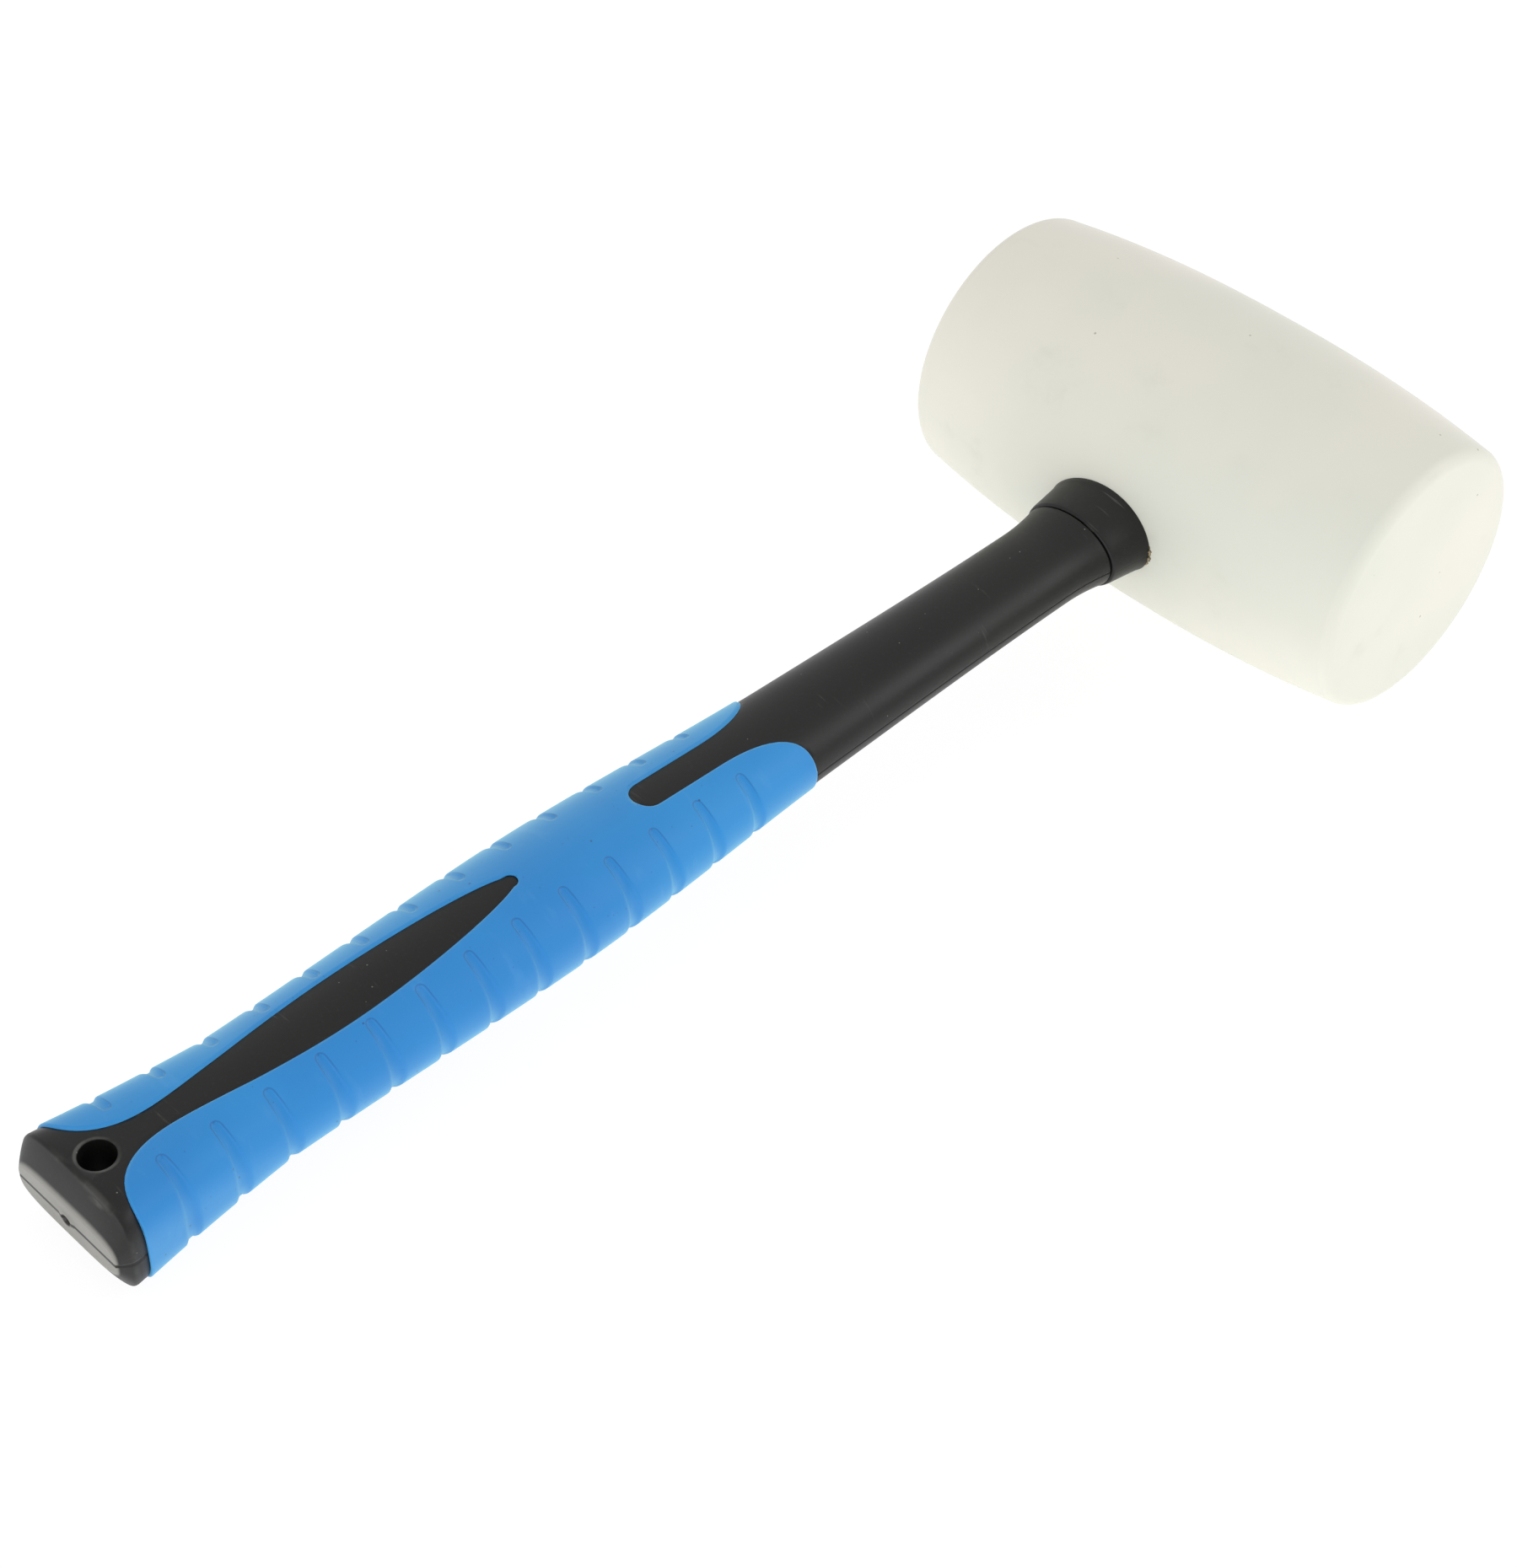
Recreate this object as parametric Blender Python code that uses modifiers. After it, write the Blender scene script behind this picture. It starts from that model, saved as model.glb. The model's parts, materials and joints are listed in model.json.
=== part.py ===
"""Rubber mallet with a two-colour moulded handle, at rest on a table.

The mallet is drawn in the frame of its handle: X runs along the head from face to face, Y along the
handle with the butt at -Y, and the head's centre is the origin. A reach is a distance from that centre
towards the butt. An empty carries every piece and lays the mallet down on its belly and butt.
"""

import math

import bmesh
import bpy
from mathutils import Vector

# Head, a barrel of moulded rubber
HEAD_LENGTH = 0.120
BELLY_DIAMETER = 0.071
FACE_DIAMETER = 0.0622
RIM_RADIUS = 0.003
BARREL_POWER = 2.3

# Tenon of the jacket, glued into the eye of the head with its end a little below the belly
TENON_WIDTH = 0.0186
TENON_THICKNESS = 0.0148
TENON_RECESS = 0.0013
TENON_TOP = BELLY_DIAMETER / 2 - TENON_RECESS
BOND_THICKNESS = 0.0008

# Collar between neck and head
COLLAR_LENGTH = 0.0100
COLLAR_ROOT_DEPTH = 0.0040
COLLAR_REACH = BELLY_DIAMETER / 2 + COLLAR_LENGTH
COLLAR_FOOT_WIDTH = 0.0252
COLLAR_HEAD_WIDTH = 0.0282

# Outer form of the handle, as reaches and full widths
NECK_TOP_WIDTH = 0.0242
NECK_REACH = 0.0570
NECK_WIDTH = 0.0217
NECK_END_REACH = 0.130
NECK_END_WIDTH = 0.0244
SWELL_REACH = 0.203
SWELL_WIDTH = 0.0308
BUTT_REACH = 0.3070
BUTT_WIDTH = 0.0320
PALM_TO_BUTT = 0.0350
PALM_REACH = BUTT_REACH - PALM_TO_BUTT
PALM_WIDTH = 0.0285
END_TAPER_LENGTH = 0.0038
HANDLE_REACH = BUTT_REACH + END_TAPER_LENGTH
FLATNESS = 1.42
BUTT_SQUARENESS = 3.0
END_FACE_WIDTH = 0.0282
END_FACE_HEIGHT = 0.0100

# Fibreglass core of the handle, which ends short of the hanging hole
ROD_DIAMETER = 0.010
ROD_TO_BUTT = 0.0230
ROD_END_REACH = BUTT_REACH - ROD_TO_BUTT

# Soft grip moulded over the jacket
GRIP_WALL = 0.0020
GRIP_PROUD = 0.0003
LOBE_REACH = 0.1365
SLOT_WIDTH = 0.0074
SLOT_TOP_REACH = 0.1545
SLOT_END_REACH = 0.1752
LEAF_TIP_REACH = 0.2055
LEAF_BELLY_REACH = 0.2480
LEAF_WIDTH = 0.0120
LEAF_WAIST_TO_BUTT = 0.0175
LEAF_WAIST_REACH = BUTT_REACH - LEAF_WAIST_TO_BUTT
LEAF_WAIST_WIDTH = 0.0058
GRIP_TO_BUTT = 0.0020
GRIP_END_REACH = BUTT_REACH - GRIP_TO_BUTT

# Fullness of the openings' curves: how far a curve keeps its direction, as a share of its run
LOBE_FULLNESS = 0.62
FLARE_FULLNESS = 0.72
WAIST_FULLNESS = 0.55
LEAF_FULLNESS = 0.42
TIP_FULLNESS = 0.55
ROUND_FULLNESS = 0.55

# Finger grooves across both sides of the grip
GROOVE_COUNT = 13
FIRST_GROOVE_REACH = 0.1538
GROOVE_PITCH = 0.01176
GROOVE_RADIUS = 0.0018
GROOVE_DEPTH = 0.0006
GROOVE_INSET = 0.0072
GROOVE_END_SHARE = 0.55

# Hanging hole through the butt
HANG_HOLE_DIAMETER = 0.0074
HANG_HOLE_TO_BUTT = 0.0044
HANG_HOLE_REACH = BUTT_REACH - HANG_HOLE_TO_BUTT
HANG_HOLE_BEVEL = 0.0003

# Gap that touching pieces keep, and how far a cutter runs past what it cuts
FIT = 0.0003
OVERRUN = 0.004

# Facets
HEAD_SEGMENTS = 48
BARREL_STEPS = 12
RIM_STEPS = 4
SECTION_SEGMENTS = 36
HANDLE_STEPS = 26
ROD_SEGMENTS = 24
CURVE_STEPS = 11
GROOVE_STEPS = 10


def clear_scene():
    for obj in list(bpy.data.objects):
        bpy.data.objects.remove(obj)


def new_collection(name, hidden=False):
    collection = bpy.data.collections.new(name)
    collection.hide_render = hidden
    bpy.context.scene.collection.children.link(collection)
    return collection


def new_material(name, colour, roughness):
    material = bpy.data.materials.new(name)
    material.use_nodes = True
    shader = material.node_tree.nodes["Principled BSDF"]
    shader.inputs["Base Color"].default_value = (*colour, 1.0)
    shader.inputs["Roughness"].default_value = roughness
    shader.inputs["Metallic"].default_value = 0.0
    return material


def add_object(name, data, collection, parent):
    obj = bpy.data.objects.new(name, data)
    collection.objects.link(obj)
    obj.parent = parent
    return obj


def finish_piece(obj, material):
    obj.data.materials.append(material)
    obj.data.shade_smooth()
    obj.data.set_sharp_from_angle(angle=math.radians(35))


def as_cutter(obj):
    obj.hide_render = True
    obj.display_type = "WIRE"
    return obj


def combine(obj, other, operation="DIFFERENCE"):
    modifier = obj.modifiers.new(f"{operation.title()} {other.name}", "BOOLEAN")
    modifier.operation = operation
    modifier.object = other


def barrel_radius(x):
    """Radius of the head at x along its length."""
    belly, face = BELLY_DIAMETER / 2, FACE_DIAMETER / 2
    return belly - (belly - face) * abs(2 * x / HEAD_LENGTH) ** BARREL_POWER


def head_profile(grow=0.0):
    """Half outline of the head, as (radius, place along the head), from its +X face to its -X face."""
    rim_start = HEAD_LENGTH / 2 - RIM_RADIUS
    rim_centre = barrel_radius(rim_start) - RIM_RADIUS
    rim = []
    for step in range(RIM_STEPS):
        turn = math.pi / 2 * step / RIM_STEPS
        radius = rim_centre + (RIM_RADIUS + grow) * math.sin(turn)
        rim.append((radius, rim_start + (RIM_RADIUS + grow) * math.cos(turn)))
    barrel = []
    for step in range(BARREL_STEPS + 1):
        x = rim_start * (1 - 2 * step / BARREL_STEPS)
        barrel.append((barrel_radius(x) + grow, x))
    far_rim = [(radius, -x) for radius, x in reversed(rim)]
    return [(0, rim[0][1])] + rim + barrel + far_rim + [(0, far_rim[-1][1])]


def turned_head(name, collection, parent, grow=0.0):
    """The barrel, turned about its length by a Screw modifier and laid along X."""
    mesh = bpy.data.meshes.new(name)
    form = bmesh.new()
    points = [form.verts.new((radius, 0, x)) for radius, x in head_profile(grow)]
    for upper, lower in zip(points, points[1:]):
        form.edges.new((upper, lower))
    form.to_mesh(mesh)
    form.free()
    head = add_object(name, mesh, collection, parent)
    head.rotation_euler = (0, math.pi / 2, 0)
    screw = head.modifiers.new("Turn", "SCREW")
    screw.axis = "Z"
    screw.steps = screw.render_steps = HEAD_SEGMENTS
    screw.use_merge_vertices = True
    screw.merge_threshold = 0.00001
    return head


def hermite(start, end, start_slope, end_slope, span, share):
    """Cubic from start to end with the given slopes, at a share of its span."""
    square, cube = share**2, share**3
    rise = (3 * square - 2 * cube) * (end - start)
    bends = (cube - 2 * square + share) * start_slope + (cube - square) * end_slope
    return start + rise + bends * span


def handle_width(reach):
    """Full width of the handle, on a smooth curve through its named widths."""
    knots = [
        (COLLAR_REACH, NECK_TOP_WIDTH),
        (NECK_REACH, NECK_WIDTH),
        (NECK_END_REACH, NECK_END_WIDTH),
        (SWELL_REACH, SWELL_WIDTH),
        (PALM_REACH, PALM_WIDTH),
        (BUTT_REACH, BUTT_WIDTH),
    ]
    chords = [(w1 - w0) / (r1 - r0) for (r0, w0), (r1, w1) in zip(knots, knots[1:])]
    slopes = [2 * chords[0]]
    for before, after in zip(chords, chords[1:]):
        turning = before * after <= 0
        slopes.append(0.0 if turning else 2 * before * after / (before + after))
    slopes.append(2 * chords[-1])
    reach = min(max(reach, COLLAR_REACH), BUTT_REACH)
    for index, (start, width) in enumerate(knots[:-1]):
        end, next_width = knots[index + 1]
        if reach <= end:
            break
    share = (reach - start) / (end - start)
    return hermite(width, next_width, slopes[index], slopes[index + 1], end - start, share)


def squareness(reach):
    """Power of the section's outline: 2 is an oval, and the butt is nearly a block."""
    share = min(max((reach - PALM_REACH) / (BUTT_REACH - PALM_REACH), 0.0), 1.0)
    return 2 + (BUTT_SQUARENESS - 2) * share


def section(reach, half_width, half_height, power=2.0):
    """Points of one section of the handle, in order round it, with a flat at each end of both axes."""
    points = []
    for index in range(SECTION_SEGMENTS):
        turn = 2 * math.pi * (index + 0.5) / SECTION_SEGMENTS
        across, up = math.cos(turn), math.sin(turn)
        x = math.copysign(abs(across) ** (2 / power), across) * half_width
        z = math.copysign(abs(up) ** (2 / power), up) * half_height
        points.append((x, -reach, z))
    return points


def handle_section(reach, grow=0.0):
    half_width = handle_width(reach) / 2
    return section(reach, half_width + grow, half_width / FLATNESS + grow, squareness(reach))


def loft(name, sections, collection, parent):
    """A closed skin over sections that run from the head towards the butt."""
    mesh = bpy.data.meshes.new(name)
    form = bmesh.new()
    rings = [[form.verts.new(point) for point in points] for points in sections]
    for ring, following in zip(rings, rings[1:]):
        for index, vertex in enumerate(ring):
            after = (index + 1) % len(ring)
            form.faces.new((vertex, following[index], following[after], ring[after]))
    form.faces.new(rings[0])
    form.faces.new(reversed(rings[-1]))
    bmesh.ops.recalc_face_normals(form, faces=form.faces)
    form.to_mesh(mesh)
    form.free()
    return add_object(name, mesh, collection, parent)


def steps_between(start, end, count):
    return [start + (end - start) * step / count for step in range(count + 1)]


def handle_loft(name, start, end, grow, collection, parent):
    """The handle's outer form between two reaches, larger all round by grow."""
    share = (end - start) / (BUTT_REACH - COLLAR_REACH)
    reaches = steps_between(start, end, max(2, round(HANDLE_STEPS * share)))
    return loft(name, [handle_section(reach, grow) for reach in reaches], collection, parent)


def oval_bar(name, top, end, half_width, half_height, collection, parent):
    """A straight oval bar along the handle between two reaches."""
    ends = [section(reach, half_width, half_height) for reach in (top, end)]
    return loft(name, ends, collection, parent)


def tenon_bar(name, top, end, grow, collection, parent):
    half_width = TENON_WIDTH / 2 + grow
    return oval_bar(name, top, end, half_width, TENON_THICKNESS / 2 + grow, collection, parent)


def curve_mesh(curve, name, collection, parent):
    """Turns a curve into a mesh object with welded caps."""
    source = add_object(f"{name} curve", curve, collection, parent)
    evaluated = source.evaluated_get(bpy.context.evaluated_depsgraph_get())
    mesh = bpy.data.meshes.new_from_object(evaluated)
    bpy.data.objects.remove(source)
    form = bmesh.new()
    form.from_mesh(mesh)
    bmesh.ops.remove_doubles(form, verts=form.verts, dist=0.000001)
    bmesh.ops.recalc_face_normals(form, faces=form.faces)
    form.to_mesh(mesh)
    form.free()
    return add_object(name, mesh, collection, parent)


def plan_prism(name, nodes, collection, parent):
    """A prism through the whole handle, from one half of a symmetric plan outline.

    Each node is (x, reach, handle direction, handle length), listed from the far side to the middle.
    """
    mirrored = [(-x, reach, (dx, -dy), size) for x, reach, (dx, dy), size in reversed(nodes) if x > 0]
    curve = bpy.data.curves.new(name, "CURVE")
    curve.dimensions = "2D"
    curve.fill_mode = "BOTH"
    curve.extrude = BUTT_WIDTH
    curve.resolution_u = CURVE_STEPS
    spline = curve.splines.new("BEZIER")
    spline.bezier_points.add(len(nodes) + len(mirrored) - 1)
    spline.use_cyclic_u = True
    for point, (x, reach, direction, size) in zip(spline.bezier_points, nodes + mirrored):
        along = Vector((*direction, 0)) * size
        point.handle_left_type = point.handle_right_type = "FREE"
        point.co = (x, -reach, 0)
        point.handle_left = point.co - along
        point.handle_right = point.co + along
    return curve_mesh(curve, name, collection, parent)


def front_prism(name, grow, collection, parent):
    """Where the jacket shows at the front of the grip: the neck and the slot that runs back from it."""
    far = BUTT_WIDTH
    lobe, top, end = LOBE_REACH + grow, SLOT_TOP_REACH, SLOT_END_REACH + grow
    half, side = SLOT_WIDTH / 2 + grow, NECK_END_WIDTH / 2
    round_end = ROUND_FULLNESS * half
    nodes = [
        (far, lobe - OVERRUN * 2, (0, 1), 0.0),
        (far, lobe, (-1, 0), 0.0),
        (side, lobe, (-1, 0), (side - half) * LOBE_FULLNESS),
        (half, top, (0, -1), (top - lobe) * LOBE_FULLNESS),
        (half, end - half, (0, -1), round_end),
        (0, end, (-1, 0), round_end),
    ]
    return plan_prism(name, nodes, collection, parent)


def rear_prism(name, grow, collection, parent):
    """Where the jacket shows at the rear of the grip: the butt and the leaf that runs forward from it."""
    far = BUTT_WIDTH
    tip, end = LEAF_TIP_REACH - grow, GRIP_END_REACH - grow
    belly, waist = LEAF_WIDTH / 2 + grow, LEAF_WAIST_WIDTH / 2 + grow
    flank = BUTT_WIDTH / 2
    nodes = [
        (far, HANDLE_REACH + OVERRUN, (0, 1), 0.0),
        (far, end, (-1, 0), 0.0),
        (flank, end, (-1, 0), (flank - waist) * FLARE_FULLNESS),
        (waist, LEAF_WAIST_REACH, (0, 1), (end - LEAF_WAIST_REACH) * WAIST_FULLNESS),
        (belly, LEAF_BELLY_REACH, (0, 1), (LEAF_BELLY_REACH - tip) * LEAF_FULLNESS),
        (0, tip, (-1, 0), belly * TIP_FULLNESS),
    ]
    return plan_prism(name, nodes, collection, parent)


def groove_cutter(collection, parent):
    """Tubes bent round both sides of the grip, which leave shallow round-ended grooves."""
    curve = bpy.data.curves.new("grooves", "CURVE")
    curve.dimensions = "3D"
    curve.bevel_depth = GROOVE_RADIUS
    curve.bevel_resolution = 1
    curve.use_fill_caps = True
    for groove in range(GROOVE_COUNT):
        reach = FIRST_GROOVE_REACH + GROOVE_PITCH * groove
        for side in (-1, 1):
            add_groove(curve, reach, side)
    return as_cutter(curve_mesh(curve, "grooves", collection, parent))


def add_groove(curve, reach, side):
    lift = GRIP_PROUD + GROOVE_RADIUS - GROOVE_DEPTH
    half_width = handle_width(reach) / 2 + lift
    half_height = handle_width(reach) / 2 / FLATNESS + lift
    power = squareness(reach)
    top_turn = math.acos((GROOVE_INSET / half_width) ** (power / 2))
    turns = steps_between(top_turn, -top_turn, GROOVE_STEPS)
    spline = curve.splines.new("POLY")
    spline.points.add(len(turns) - 1)
    for index, (point, turn) in enumerate(zip(spline.points, turns)):
        x = math.cos(turn) ** (2 / power) * half_width
        z = math.copysign(abs(math.sin(turn)) ** (2 / power), turn) * half_height
        point.co = (side * x, -reach, z, 1)
        to_middle = abs(1 - 2 * index / GROOVE_STEPS)
        point.radius = GROOVE_END_SHARE + (1 - GROOVE_END_SHARE) * math.sqrt(1 - to_middle**2)


def round_bar(name, diameter, top, end, segments, collection, parent):
    """A round bar along the handle between two reaches."""
    mesh = bpy.data.meshes.new(name)
    form = bmesh.new()
    bmesh.ops.create_cone(
        form, cap_ends=True, segments=segments, radius1=diameter / 2, radius2=diameter / 2, depth=end - top
    )
    form.to_mesh(mesh)
    form.free()
    bar = add_object(name, mesh, collection, parent)
    bar.rotation_euler = (math.pi / 2, 0, 0)
    bar.location = (0, -(top + end) / 2, 0)
    return bar


def hang_hole_cutter(collection, parent):
    """A hole straight through the butt, with its rims eased."""
    half_height = BUTT_WIDTH / 2 / FLATNESS
    surface = handle_width(HANG_HOLE_REACH) / 2 / FLATNESS
    radius = HANG_HOLE_DIAMETER / 2
    heights = (half_height + OVERRUN, surface, surface - HANG_HOLE_BEVEL)
    outer = [(radius + HANG_HOLE_BEVEL, heights[0]), (radius + HANG_HOLE_BEVEL, heights[1]), (radius, heights[2])]
    lower = [(r, -z) for r, z in reversed(outer)]
    profile = [(0, heights[0])] + outer + lower + [(0, -heights[0])]
    mesh = bpy.data.meshes.new("hang hole")
    form = bmesh.new()
    points = [form.verts.new((r, 0, z)) for r, z in profile]
    for upper, below in zip(points, points[1:]):
        form.edges.new((upper, below))
    form.to_mesh(mesh)
    form.free()
    hole = add_object("hang hole", mesh, collection, parent)
    hole.location = (0, -HANG_HOLE_REACH, 0)
    screw = hole.modifiers.new("Turn", "SCREW")
    screw.steps = screw.render_steps = ROD_SEGMENTS
    screw.use_merge_vertices = True
    screw.merge_threshold = 0.00001
    return as_cutter(hole)


def build_head(parts, cutters, frame, material):
    """Rubber barrel with an eye right through it for the tenon."""
    head = turned_head("head", parts, frame)
    reach = BELLY_DIAMETER / 2 + OVERRUN
    eye = tenon_bar("eye", -reach, reach, 2 * FIT + BOND_THICKNESS, cutters, frame)
    combine(head, as_cutter(eye))
    finish_piece(head, material)


def build_bond(parts, cutters, frame, material):
    """Cured adhesive between tenon and eye."""
    end = barrel_radius(TENON_WIDTH / 2) - OVERRUN
    bond = tenon_bar("eye_bond", -TENON_TOP, end, FIT + BOND_THICKNESS, parts, frame)
    bore = tenon_bar("bond bore", -TENON_TOP - OVERRUN, end + OVERRUN, FIT, cutters, frame)
    combine(bond, as_cutter(bore))
    finish_piece(bond, material)


def build_core(parts, frame, material):
    """Fibreglass rod that carries the handle from the top of the head to the butt."""
    rod = round_bar("core_rod", ROD_DIAMETER, -TENON_TOP, ROD_END_REACH, ROD_SEGMENTS, parts, frame)
    finish_piece(rod, material)


def build_collar(parts, cutters, frame, material):
    """Ring on the tenon, clamped between the neck's shoulder and the belly of the head."""
    top = BELLY_DIAMETER / 2 - COLLAR_ROOT_DEPTH
    foot = COLLAR_REACH - FIT
    sections = []
    for reach, width in ((top, COLLAR_HEAD_WIDTH), (foot, COLLAR_FOOT_WIDTH)):
        sections.append(section(reach, width / 2, width / 2 / FLATNESS))
    collar = loft("neck_collar", sections, parts, frame)
    combine(collar, as_cutter(turned_head("belly", cutters, frame, FIT)))
    bore = tenon_bar("collar bore", 0, COLLAR_REACH + OVERRUN, FIT, cutters, frame)
    combine(collar, as_cutter(bore))
    finish_piece(collar, material)


def build_jacket(parts, cutters, frame, material):
    """Stiff plastic moulded round the rod: tenon, neck, the lands inside the grip, and the butt."""
    half_tenon = (TENON_WIDTH / 2, TENON_THICKNESS / 2)
    sections = [section(-TENON_TOP, *half_tenon), section(COLLAR_REACH, *half_tenon)]
    for reach in steps_between(COLLAR_REACH, BUTT_REACH, HANDLE_STEPS):
        sections.append(handle_section(reach))
    end_face = (END_FACE_WIDTH / 2, END_FACE_HEIGHT / 2)
    sections.append(section(HANDLE_REACH, *end_face, BUTT_SQUARENESS))
    jacket = loft("handle_jacket", sections, parts, frame)

    pocket = handle_loft("pocket", NECK_END_REACH, BUTT_REACH, OVERRUN, cutters, frame)
    bed = handle_loft("bed", NECK_END_REACH - OVERRUN, BUTT_REACH + OVERRUN, -GRIP_WALL, cutters, frame)
    combine(pocket, as_cutter(bed))
    combine(pocket, as_cutter(front_prism("front land", 0.0, cutters, frame)))
    combine(pocket, as_cutter(rear_prism("rear land", 0.0, cutters, frame)))
    combine(jacket, as_cutter(pocket))

    bore_top, bore_end = -TENON_TOP - OVERRUN, ROD_END_REACH + FIT
    bore = round_bar("rod bore", ROD_DIAMETER + 2 * FIT, bore_top, bore_end, ROD_SEGMENTS, cutters, frame)
    combine(jacket, as_cutter(bore))
    combine(jacket, hang_hole_cutter(cutters, frame))
    finish_piece(jacket, material)


def build_grip(parts, cutters, frame, material):
    """Soft sleeve with openings over the jacket's lands on both faces, and grooves on both sides."""
    grip = handle_loft("grip_sleeve", NECK_END_REACH, BUTT_REACH, GRIP_PROUD, parts, frame)
    core = handle_loft(
        "grip core", NECK_END_REACH - OVERRUN, BUTT_REACH + OVERRUN, FIT - GRIP_WALL, cutters, frame
    )
    combine(grip, as_cutter(core))
    combine(grip, as_cutter(front_prism("slot opening", FIT, cutters, frame)))
    combine(grip, as_cutter(rear_prism("leaf opening", FIT, cutters, frame)))
    combine(grip, groove_cutter(cutters, frame))
    finish_piece(grip, material)


def rest_tilt():
    """Angle about X at which belly and butt both touch a flat table."""
    low_reach, low_height = BUTT_REACH, handle_width(BUTT_REACH) / 2 / FLATNESS
    distance = math.hypot(low_reach, low_height)
    return math.asin(BELLY_DIAMETER / 2 / distance) - math.asin(low_height / distance)


def lay_down(parts, frame):
    """Turns the mallet to its rest and puts the middle of its underside at the world's origin."""
    frame.rotation_euler = (rest_tilt(), 0, 0)
    bpy.context.view_layer.update()
    graph = bpy.context.evaluated_depsgraph_get()
    corners = []
    for obj in parts.objects:
        if obj.type == "MESH":
            evaluated = obj.evaluated_get(graph)
            corners += [evaluated.matrix_world @ vertex.co for vertex in evaluated.data.vertices]
    lowest = Vector(min(corner[axis] for corner in corners) for axis in range(3))
    highest = Vector(max(corner[axis] for corner in corners) for axis in range(3))
    middle = (lowest + highest) / 2
    frame.location = (-middle.x, -middle.y, -lowest.z)


def main():
    clear_scene()
    parts = new_collection("rubber_mallet")
    cutters = new_collection("cutters", hidden=True)
    frame = add_object("mallet_frame", None, parts, None)

    white_rubber = new_material("white rubber", (0.74, 0.73, 0.65), 0.55)
    black_plastic = new_material("black plastic", (0.030, 0.030, 0.028), 0.42)
    blue_rubber = new_material("blue soft rubber", (0.043, 0.262, 0.672), 0.48)
    fibreglass = new_material("fibreglass", (0.62, 0.58, 0.40), 0.5)
    adhesive = new_material("cured adhesive", (0.40, 0.33, 0.18), 0.3)

    build_head(parts, cutters, frame, white_rubber)
    build_bond(parts, cutters, frame, adhesive)
    build_core(parts, frame, fibreglass)
    build_collar(parts, cutters, frame, black_plastic)
    build_jacket(parts, cutters, frame, black_plastic)
    build_grip(parts, cutters, frame, blue_rubber)
    lay_down(parts, frame)


if __name__ == "__main__":
    main()
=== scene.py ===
"""Rubber mallet with a barrel head and a two-colour moulded handle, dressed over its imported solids.

Sizes are in metres. The mallet is drawn in the frame of its handle: X runs along the head, Y along the
handle with the butt at -Y, and the head's centre is the origin. A reach is a distance from that centre
towards the butt, and a turn is an angle round the handle from its +X side. lay_down() then lays the
finished form on the table.
"""

import json
import math
from bisect import bisect_right

import bmesh
import bpy
from bpy.props import FloatProperty, FloatVectorProperty, IntProperty, PointerProperty
from mathutils import Euler, Matrix, Vector
from mathutils.kdtree import KDTree

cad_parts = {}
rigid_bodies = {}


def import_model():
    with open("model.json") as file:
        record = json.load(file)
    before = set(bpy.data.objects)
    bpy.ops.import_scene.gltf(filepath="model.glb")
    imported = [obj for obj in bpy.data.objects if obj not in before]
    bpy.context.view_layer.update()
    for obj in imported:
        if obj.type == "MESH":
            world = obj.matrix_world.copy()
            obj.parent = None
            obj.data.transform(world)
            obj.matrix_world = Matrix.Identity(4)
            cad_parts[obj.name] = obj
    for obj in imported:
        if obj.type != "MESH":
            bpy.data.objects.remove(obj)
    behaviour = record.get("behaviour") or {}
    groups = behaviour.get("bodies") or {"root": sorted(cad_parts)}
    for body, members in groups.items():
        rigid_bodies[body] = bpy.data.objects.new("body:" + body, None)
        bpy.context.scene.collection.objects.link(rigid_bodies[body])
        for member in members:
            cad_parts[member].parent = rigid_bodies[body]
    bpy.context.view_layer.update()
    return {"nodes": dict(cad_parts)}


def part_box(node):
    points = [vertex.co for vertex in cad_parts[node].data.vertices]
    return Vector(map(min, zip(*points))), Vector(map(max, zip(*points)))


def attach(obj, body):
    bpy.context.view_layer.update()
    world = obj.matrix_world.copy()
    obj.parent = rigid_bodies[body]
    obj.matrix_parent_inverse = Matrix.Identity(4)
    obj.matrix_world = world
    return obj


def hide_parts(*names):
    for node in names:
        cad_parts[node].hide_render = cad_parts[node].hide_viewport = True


for startup_object in list(bpy.data.objects):
    bpy.data.objects.remove(startup_object)
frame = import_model()

bl_info = {
    "name": "Rubber mallet",
    "version": (1, 0, 0),
    "blender": (4, 5, 0),
    "location": "3D View > Sidebar > Mallet",
    "description": "Models and finishes a rubber mallet around its packed solids",
    "category": "Object",
}

WELD = 0.000002
MILLIMETRE = 0.001


def size(name, description, default):
    return FloatProperty(
        name=name, description=description, default=default, min=0.0, unit="LENGTH", precision=5
    )


def share(name, description, default):
    return FloatProperty(name=name, description=description, default=default, min=0.0, precision=3)


def watts(name, description, default):
    return FloatProperty(name=name, description=description, default=default, min=0.0, unit="POWER")


def count(name, description, default):
    return IntProperty(name=name, description=description, default=default, min=1)


def colour(name, description, default):
    return FloatVectorProperty(
        name=name, description=description, default=default, min=0.0, max=1.0, size=3, subtype="COLOR"
    )


class MALLET_PG_head(bpy.types.PropertyGroup):
    """Sizes and colours of the rubber head."""

    length: size("Length", "From striking face to striking face", 0.120)
    belly: size("Belly", "Diameter at the middle", 0.071)
    face: size("Face", "Diameter that the barrel comes down to at its ends", 0.0622)
    rim: size("Rim", "Radius of the rounded rim of each face", 0.0030)
    bulge: share("Bulge", "Power of the barrel's outline", 2.3)
    rubber: colour("Rubber", "Off-white rubber", (0.780, 0.758, 0.668))
    rubber_dull: colour("Dull rubber", "Rubber where it has greyed", (0.725, 0.730, 0.645))


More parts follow.
